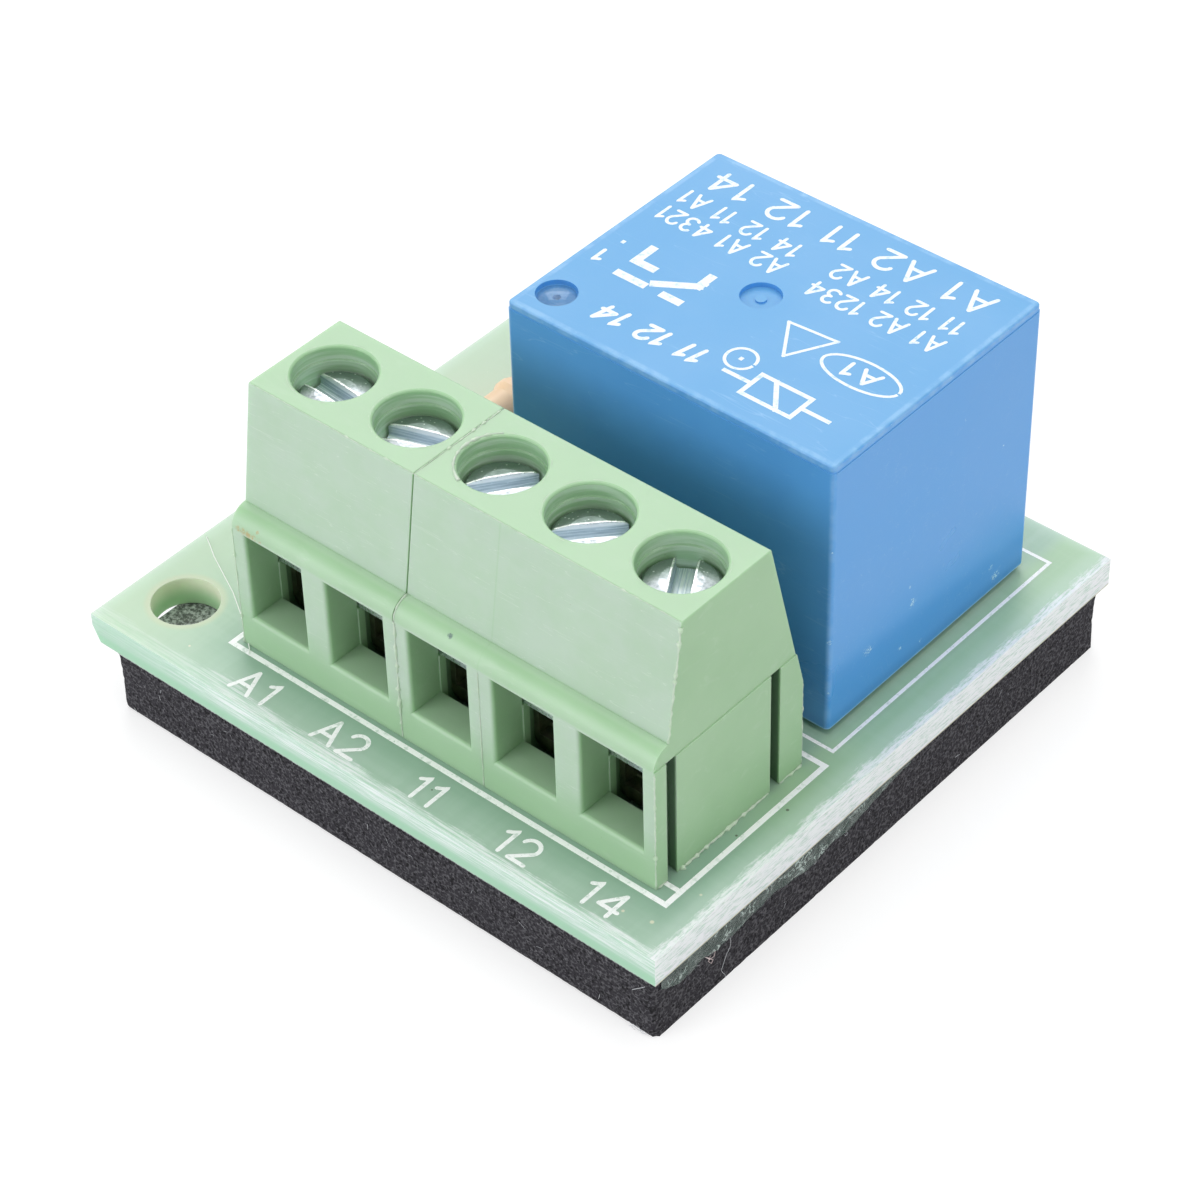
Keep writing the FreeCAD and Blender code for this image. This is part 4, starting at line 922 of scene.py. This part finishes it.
# small leaded parts
def resistorCoat():
    mat, shader, space = startMaterial("resistorCoat", 0.36)
    y = axesOf(space)[1]
    tan = blendOf(noiseOf(space, 0.8, 3), (0.73, 0.50, 0.30), (0.86, 0.65, 0.43))
    near = cornersOf("resistor_body")[0].y
    colour = blendOf(rangeOf(y, near + 0.6, near + 2.2, 0.55, 0.0), tan, (0.78, 0.46, 0.36))
    pits = rangeOf(noiseOf(space, 4.5, 3, 0.6), 0.66, 0.74)
    colour = blendOf(pits, colour, (0.45, 0.27, 0.15), 0.5)
    paint(shader, colour)
    soften(shader, 0.15, (1.0, 0.6, 0.4), 0.0004)
    bump(shader, noiseOf(space, 4.0, 3), 0.25, 0.00003)
    return mat


def diodeEpoxy():
    mat, shader, space = startMaterial("diodeEpoxy", 0.32)
    y = axesOf(space)[1]
    far = cornersOf("diode_body")[1].y
    black = blendOf(noiseOf(space, 0.8, 3), (0.02, 0.02, 0.025), (0.045, 0.045, 0.05))
    colour = blendOf(bandOf(y, far - 1.3, far - 0.6, 0.03), black, (0.62, 0.63, 0.64))
    paint(shader, colour)
    bump(shader, noiseOf(space, 6.0, 3), 0.2, 0.00002)
    return mat


def lampRed():
    mat, shader, space = startMaterial("lampRed", 0.12)
    paint(shader, blendOf(noiseOf(space, 0.7, 2), (0.60, 0.03, 0.02), (0.75, 0.06, 0.04)))
    shader.inputs["Transmission Weight"].default_value = 0.6
    return mat


wear(resistorCoat(), "resistor_body")
wear(diodeEpoxy(), "diode_body")
wear(lampRed(), "led_lens")
wear(plainMetal("tinnedWire", (0.66, 0.67, 0.69), (0.84, 0.85, 0.86), 0.28, 9.0),
     "resistor_leads", "diode_leads", "led_leads")
print("small parts finished")

# print on the board
boardPrint = {
    "line": 0.29,
    "thinLine": 0.19,
    "pen": 0.22,
    "flatness": 0.04,
    "figureHeight": 1.50,
    "figureGap": 0.22,  # share of the height
    "figureShare": 0.56,
    "labels": ("A1", "A2", "11", "12", "14"),
    "frameGaps": (0.44, 0.40, 0.87),  # beyond the block at the left, front and right
    "innerLine": 1.01,
    "relayGap": 0.8,
    # all below from the left front corner of the terminal block
    "spans": ((0.06, 5.14), (6.0, 10.17), (11.22, 15.62), (17.37, 20.51), (22.38, 25.52)),
    "labelsY": -1.85,
    "blockBack": 10.81,
    "relayRight": 25.96,
    "relayFront": 11.79,
    "relayBack": 28.65,
}


def whiteInk(name, chipped, ground, tone):
    mat, shader, space = startMaterial(name, 0.55, 0.0, 0.4)
    thin = noiseOf(space, 3.4, 4, 0.65)
    ink = blendOf(rangeOf(thin, 0.50, 0.72, 0.0, 0.6), tone, ground)
    # pinholes and chips that let the ground through
    holes = rangeOf(noiseOf(space, 7.5, 3, 0.7), 0.66, 0.70)
    chips = timesOf(rangeOf(noiseOf(space, 6.0, 3, 0.6), 0.61, 0.65),
                    rangeOf(noiseOf(space, 0.55, 2), 0.60, 0.66))
    lost = timesOf(mostOf(holes, chips), chipped)
    paint(shader, blendOf(lost, ink, ground))
    bump(shader, thin, 0.2, 0.00002)
    return mat


def ruledFrame(left, front, right, back, width):
    corners = ((left, front), (right, front), (right, back), (left, back))
    return [ruled(corners[k], corners[k - 1], width) for k in range(4)]


def printBoard():
    look = boardPrint
    leftGap, frontGap, rightGap = look["frameGaps"]
    front, right = blockLow.y - frontGap, blockHigh.x + rightGap
    strokes = ruledFrame(blockLow.x - leftGap, front, right, blockLow.y + look["blockBack"], look["line"])
    inner = front + look["innerLine"]
    strokes.append(ruled((blockHigh.x - 1.0, inner), (right, inner), look["line"] * 0.9))
    # outline of the relay
    strokes += ruledFrame(relayLow.x - look["relayGap"], blockLow.y + look["relayFront"],
                          blockLow.x + look["relayRight"], blockLow.y + look["relayBack"], look["thinLine"])
    # one label for each terminal
    height, y = look["figureHeight"], blockLow.y + look["labelsY"]
    for words, span in zip(look["labels"], look["spans"]):
        centre = blockLow.x + sum(span) / 2
        reach = figureRun(words, height, look["figureGap"]) * look["figureShare"]
        strokes += figureStrokes(words, (centre - reach, y), (centre + reach, y), height, look["pen"])
    ink = whiteInk("boardInk", 0.75, (0.42, 0.56, 0.46), (0.96, 0.97, 0.965))
    newPiece("boardPrint", penStrokes(strokes, boardTop, look["flatness"]), ink)


printBoard()
print("board print made")

# print on the relay, read from the back
relayPrint = {
    "pen": 0.24,
    "finePen": 0.16,
    "boldPen": 0.46,
    "flatness": 0.03,
    "lines": (
        ("A1 A2 11 12 14", (13.1, 12.0), (-2.9, 11.97), 1.45, 0.22, 0.0),
        ("11 12 14 A2", (13.1, 9.88), (5.9, 9.90), 1.05, 0.17, 0.0),
        ("A1 A2 1234", (13.1, 8.25), (5.8, 8.20), 1.05, 0.17, 0.0),
        ("14 12 11 A1", (3.8, 9.85), (-3.2, 10.05), 1.05, 0.17, 0.0),
        ("A2 A1 4321", (4.0, 8.36), (-3.2, 8.44), 1.05, 0.17, 0.0),
        ("1", (-2.95, 4.0), (-3.35, 4.0), 0.9, 0.20, 0.0),
        ("A1", (12.5, 4.5), (10.7, 4.5), 0.95, 0.20, 0.0),
        ("11 12 14", (5.4, 1.0), (-0.5, 0.8), 1.1, 0.23, 0.25),
    ),  # words, start, end, height, pen, lean
    "ring": (6.75, 2.09, 0.75),
    "triangle": ((8.07, 3.43), (9.34, 5.75), (6.72, 5.53)),
    "oval": (11.6, 4.5, 2.1, 0.95),
    "contact": (
        ((1.9, 5.85), (1.9, 5.0)), ((1.9, 5.0), (0.2, 3.9)), ((-1.6, 5.85), (-1.6, 4.7)),
        ((-1.6, 4.7), (-0.6, 4.7)), ((-1.6, 3.5), (-0.2, 3.5)), ((1.9, 3.5), (1.1, 3.5)),
    ),
    "coil": (
        ((12.5, 1.0), (11.15, 1.0)), ((8.05, 1.0), (6.7, 1.0)), ((11.0, 1.8), (8.2, 1.8)),
        ((11.0, 0.2), (8.2, 0.2)), ((11.0, 1.8), (11.0, 0.2)), ((8.2, 1.8), (8.2, 0.2)), ((10.2, 0.2), (9.0, 1.8)),
    ),
    "dots": ((2.1, 5.3), (-3.0, 5.45), (6.75, 2.09)),
}


def printRelay():
    look = relayPrint
    fine = look["finePen"]
    strokes = []
    for facts in look["lines"]:
        strokes += figureStrokes(*facts)
    for shape, width in (("contact", look["boldPen"]), ("coil", look["pen"])):
        strokes += [ruled(start, end, width) for start, end in look[shape]]
    corners = look["triangle"]
    strokes += [ruled(corners[k - 1], corners[k], fine) for k in range(3)]
    x, y, radius = look["ring"]
    strokes.append((arcOf(x, y, radius, radius, 0, 352, 28), fine))
    strokes.append((arcOf(*look["oval"], 0, 354, 36), fine))
    strokes += [([(x - 0.1, y), (x + 0.1, y)], look["pen"]) for x, y in look["dots"]]
    ink = whiteInk("relayInk", 0.75, (0.28, 0.54, 0.84), (0.82, 0.88, 0.95))
    newPiece("relayPrint", penStrokes(strokes, relayTop, look["flatness"]), ink)


printRelay()
print("relay print made")

# foam pad
foamLook = {
    "skinSize": 0.22,
    "cells": 2.4,  # to the millimetre
    "wave": 0.012,
    "grit": 0.02,
    "pore": 0.05,
    "dark": (0.006, 0.0055, 0.007),
    "colour": (0.034, 0.032, 0.038),
    "glint": (0.24, 0.235, 0.25),
}


def blackFoam():
    look = foamLook
    mat, shader, space = startMaterial("blackFoam", 0.95, 0.0, 0.22)
    pores = cellsOf(space, 3.6)
    small = cellsOf(space, 6.5)
    fine = noiseOf(space, 6.5, 5, 0.8)
    # pale glints are painted highlights on the cell walls; the dark pores and pits are painted shade in the open
    # cells
    colour = blendOf(rangeOf(fine, 0.55, 0.70), look["colour"], look["glint"])
    colour = blendOf(rangeOf(pores, 0.16, 0.40, 0.9, 0.0), colour, look["dark"])
    walls = rangeOf(small, 0.54, 0.70, 0.0, 0.30)
    colour = blendOf(walls, colour, look["glint"])
    pits = rangeOf(noiseOf(space, 3.0, 3, 0.65), 0.60, 0.66, 0.0, 0.9)
    colour = blendOf(pits, colour, look["dark"])
    paint(shader, colour)
    bump(shader, scaledOf(pores, 1.4, mathOf("ADD", small, fine)), 0.9, 0.00008)
    return mat


def makeFoam(mat):
    look = foamLook
    bm = bmesh.new()
    bm.from_mesh(nodes["foam_pad"].data)
    bmesh.ops.remove_doubles(bm, verts=bm.verts, dist=0.000001)
    piece = newPiece("foamPad", bm, mat)
    # an even skin of small faces, to press the cells of cut foam into
    skin = piece.modifiers.new("evenSkin", "REMESH")
    skin.mode = "VOXEL"
    skin.voxel_size = look["skinSize"] * mm
    bpy.context.view_layer.update()
    evaluated = piece.evaluated_get(bpy.context.evaluated_depsgraph_get())
    mesh = bpy.data.meshes.new_from_object(evaluated)
    piece.modifiers.clear()
    bm = bmesh.new()
    bm.from_mesh(mesh)
    bmesh.ops.recalc_face_normals(bm, faces=bm.faces)
    bm.normal_update()
    for v in bm.verts:
        spot = v.co / mm
        cell = noise.voronoi(spot * look["cells"])[0][0]
        wave = noise.noise(spot * 0.45) * look["wave"]
        grit = noise.noise(spot * 2.6) * look["grit"]
        press = max(0.0, 0.42 - cell) * look["pore"] * 2.4 + abs(wave) + abs(grit)
        upright = 1.0 - abs(v.normal.z)
        v.co -= v.normal * press * mm * (0.25 + 0.75 * upright)
    bm.to_mesh(piece.data)
    bm.free()
    piece.data.polygons.foreach_set("use_smooth", [True] * len(piece.data.polygons))
    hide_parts("foam_pad")


foamFinish = blackFoam()
wear(foamFinish, "foam_pad")
makeFoam(foamFinish)
print("foam pad made")

# adhesive film, and its crinkled edge that hangs out at the right
filmLook = {
    "clear": (0.48, 0.52, 0.50),
    "under": (0.10, 0.11, 0.105),
    "dark": (0.022, 0.060, 0.045),
    "crinkle": (0.52, 0.62, 0.57),
    "thickness": 0.016,
    "fold": 0.055,
    "across": 17.50,
    "lowerEdge": (
        (-16.49, 3.13), (-15.65, 2.64), (-15.16, 2.46), (-14.42, 2.54), (-13.68, 2.73), (-12.68, 2.48),
        (-11.93, 2.55), (-10.67, 2.62), (-9.4, 2.80), (-8.38, 2.9), (-6.82, 2.53), (-5.77, 2.40),
        (-4.99, 2.71), (-4.2, 2.79),
        (-3.27, 2.64), (-2.6, 2.70), (-1.55, 3.05), (-0.21, 3.30), (1.4, 3.42),
    ),  # y, z
}


def clearFilm():
    look = filmLook
    mat, shader, space = startMaterial("clearFilm", 0.26, 0.0, 0.6)
    mottled = rangeOf(noiseOf(space, 4.5, 4, 0.7), 0.40, 0.62)
    paint(shader, blendOf(mottled, look["under"], look["clear"]))
    bump(shader, noiseOf(space, 2.5, 4), 0.5, 0.00006)
    return mat


def crinkledFilm():
    look = filmLook
    mat, shader, space = startMaterial("crinkledFilm", 0.20, 0.0, 0.7)
    creases = mathOf("ABSOLUTE", minusOf(noiseOf(space, 1.5, 4, 0.6, 0.6), 0.5))
    # pale along the sharp creases, a painted highlight of the folds, and milky in clouds
    sharp = rangeOf(creases, 0.004, 0.045, 1.0, 0.0)
    broken = rangeOf(noiseOf(space, 1.1, 2), 0.42, 0.58)
    milky = rangeOf(noiseOf(space, 0.8, 3), 0.50, 0.80, 0.0, 0.22)
    light = mathOf("ADD", timesOf(sharp, broken, 0.75), milky, clamp=True)
    paint(shader, blendOf(light, look["dark"], look["crinkle"]))
    feed(shader.inputs["Alpha"], rangeOf(light, 0.0, 0.6, 0.62, 0.95))
    height = mathOf("ADD", timesOf(creases, 3.0), noiseOf(space, 3.0, 3))
    bump(shader, height, 0.8, 0.00010)
    return mat


def makeFilmEdge():
    look = filmLook
    edge = look["lowerEdge"]
    near, far, upper = edge[0][0], edge[-1][0], boardLow.z - 0.02
    bm = bmesh.new()
    bmesh.ops.create_grid(bm, x_segments=220, y_segments=16, size=0.5)
    for v in bm.verts:
        along, rise = v.co.x + 0.5, v.co.y + 0.5
        y = near + (far - near) * along
        k = max(i for i in range(len(edge) - 1) if edge[i][0] <= y + 0.0001)
        (startY, startZ), (endY, endZ) = edge[k:k + 2]
        lower = startZ + (endZ - startZ) * (y - startY) / (endY - startY) + 0.05 * noise.noise((y * 3.0, 1.0, 0.0))
        z = lower + (upper - lower) * rise
        fold = noise.noise((y * 1.3, z * 1.6, 3.0)) + 0.5 * noise.noise((y * 3.4, z * 3.0, 9.0))
        x = look["across"] + look["fold"] * max(-1.0, min(1.0, fold)) * (1.15 - rise)
        v.co = Vector((x, y, z)) * mm
    bmesh.ops.solidify(bm, geom=bm.faces[:], thickness=look["thickness"] * mm)
    bmesh.ops.recalc_face_normals(bm, faces=bm.faces)
    for face in bm.faces:
        face.smooth = True
    newPiece("filmEdge", bm, crinkledFilm())


wear(clearFilm(), "adhesive_film")
makeFilmEdge()
print("film finished")

# lint caught on the cut foam, and a hair on the board
lintLook = {
    "thread": 0.022,
    "hairWidth": 0.055,
    "gap": 0.02,  # of the lint, to the foam and to the ground
    "pink": (
        ((-13.68, 3.07), (-13.45, 2.6), (-13.18, 2.31), (-12.87, 1.94), (-12.98, 1.80), (-13.18, 2.08),
         (-13.05, 2.35)),
        ((-13.40, 2.55), (-13.10, 2.15), (-12.80, 2.10), (-12.72, 2.35), (-12.95, 2.50)),
    ),
    "pale": (
        ((-12.68, 2.54), (-12.18, 2.47), (-11.68, 2.40), (-11.62, 2.1), (-11.68, 1.76), (-11.93, 1.5), (-12.18, 1.0),
         (-12.28, 0.74), (-12.18, 0.5), (-12.03, 0.29), (-11.99, 0.04)),
        ((-6.05, 3.08), (-5.85, 2.6), (-5.63, 2.23), (-5.44, 2.37), (-5.50, 2.7), (-5.72, 3.06)),
        ((-3.81, 3.0), (-3.55, 2.8), (-3.33, 2.63), (-3.23, 2.32), (-3.36, 2.28), (-3.46, 2.44)),
    ),  # y, z
    "front": (((16.2, 2.57), (16.45, 2.80), (16.72, 3.05), (16.93, 3.26)),),  # x, z
    "hair": ((-17.3, -9.55), (-16.6, -9.95), (-15.97, -10.34), (-14.6, -11.02), (-13.38, -11.62), (-12.1, -12.42),
             (-10.87, -13.25), (-9.95, -13.95), (-9.7, -14.25)),  # x, y
}


def makeLint():
    look = lintLook
    thread, gap = look["thread"], look["gap"]
    side, front = foamHigh.x + gap, foamLow.y - gap
    pinkLines = [([(side, y, z) for y, z in line], thread * 1.5) for line in look["pink"]]
    paleLines = [([(side, y, z) for y, z in line], thread) for line in look["pale"]]
    paleLines += [([(x, front, z) for x, z in line], thread) for line in look["front"]]
    # bluish fluff along the lower front edge
    for k in range(9):
        x, z = random.uniform(15.4, 17.0), random.uniform(0.06, 0.35)
        tilt = random.uniform(-0.6, 0.6)
        line = [(x + 0.09 * j, front, max(gap, z + 0.05 * math.sin(j * 1.3 + k) + tilt * 0.05 * j))
                for j in range(5)]
        paleLines.append((line, thread * random.uniform(0.5, 1.3)))
    # short fibres here and there on both faces
    for k in range(26):
        z = random.uniform(0.2, 3.0)
        bend, length = random.uniform(-0.5, 0.5), random.uniform(0.12, 0.45)
        lean = random.uniform(0, 2 * math.pi)
        steps = [(length * j / 4 * math.cos(lean), length * j / 4 * math.sin(lean) + bend * 0.1 * math.sin(j * 0.9))
                 for j in range(5)]
        start = random.uniform(-15.5, 12.0 if k % 2 else 16.0)
        line = [(side, start + a, max(gap, z + b)) if k % 2 else (start + a, front, max(gap, z + b))
                for a, b in steps]
        paleLines.append((line, thread * random.uniform(0.35, 0.8)))
    # the hair lies on the lacquer
    hair = [([(x, y, boardTop + 0.025) for x, y in look["hair"]], look["hairWidth"])]
    for name, lines, finish, dim, bright, slotName in (
        ("pinkLint", pinkLines, (3.0, 0.7, 0.3), (0.75, 0.50, 0.48), (0.80, 0.80, 0.80), "black_foam"),
        ("paleLint", paleLines, (3.0, 0.7, 0.3), (0.62, 0.66, 0.72), (0.80, 0.80, 0.80), "black_foam"),
        ("paleHair", hair, (2.0, 0.4, 0.5), (0.80, 0.84, 0.77), (0.92, 0.94, 0.90), "board_laminate"),
    ):
        grain, roughness, specular = finish
        mat, shader, space = startMaterial(name, roughness, 0.0, specular)
        paint(shader, blendOf(noiseOf(space, grain), dim, bright))
        newPiece(name, penStrokes(lines), mat)


makeLint()
print("lint made")
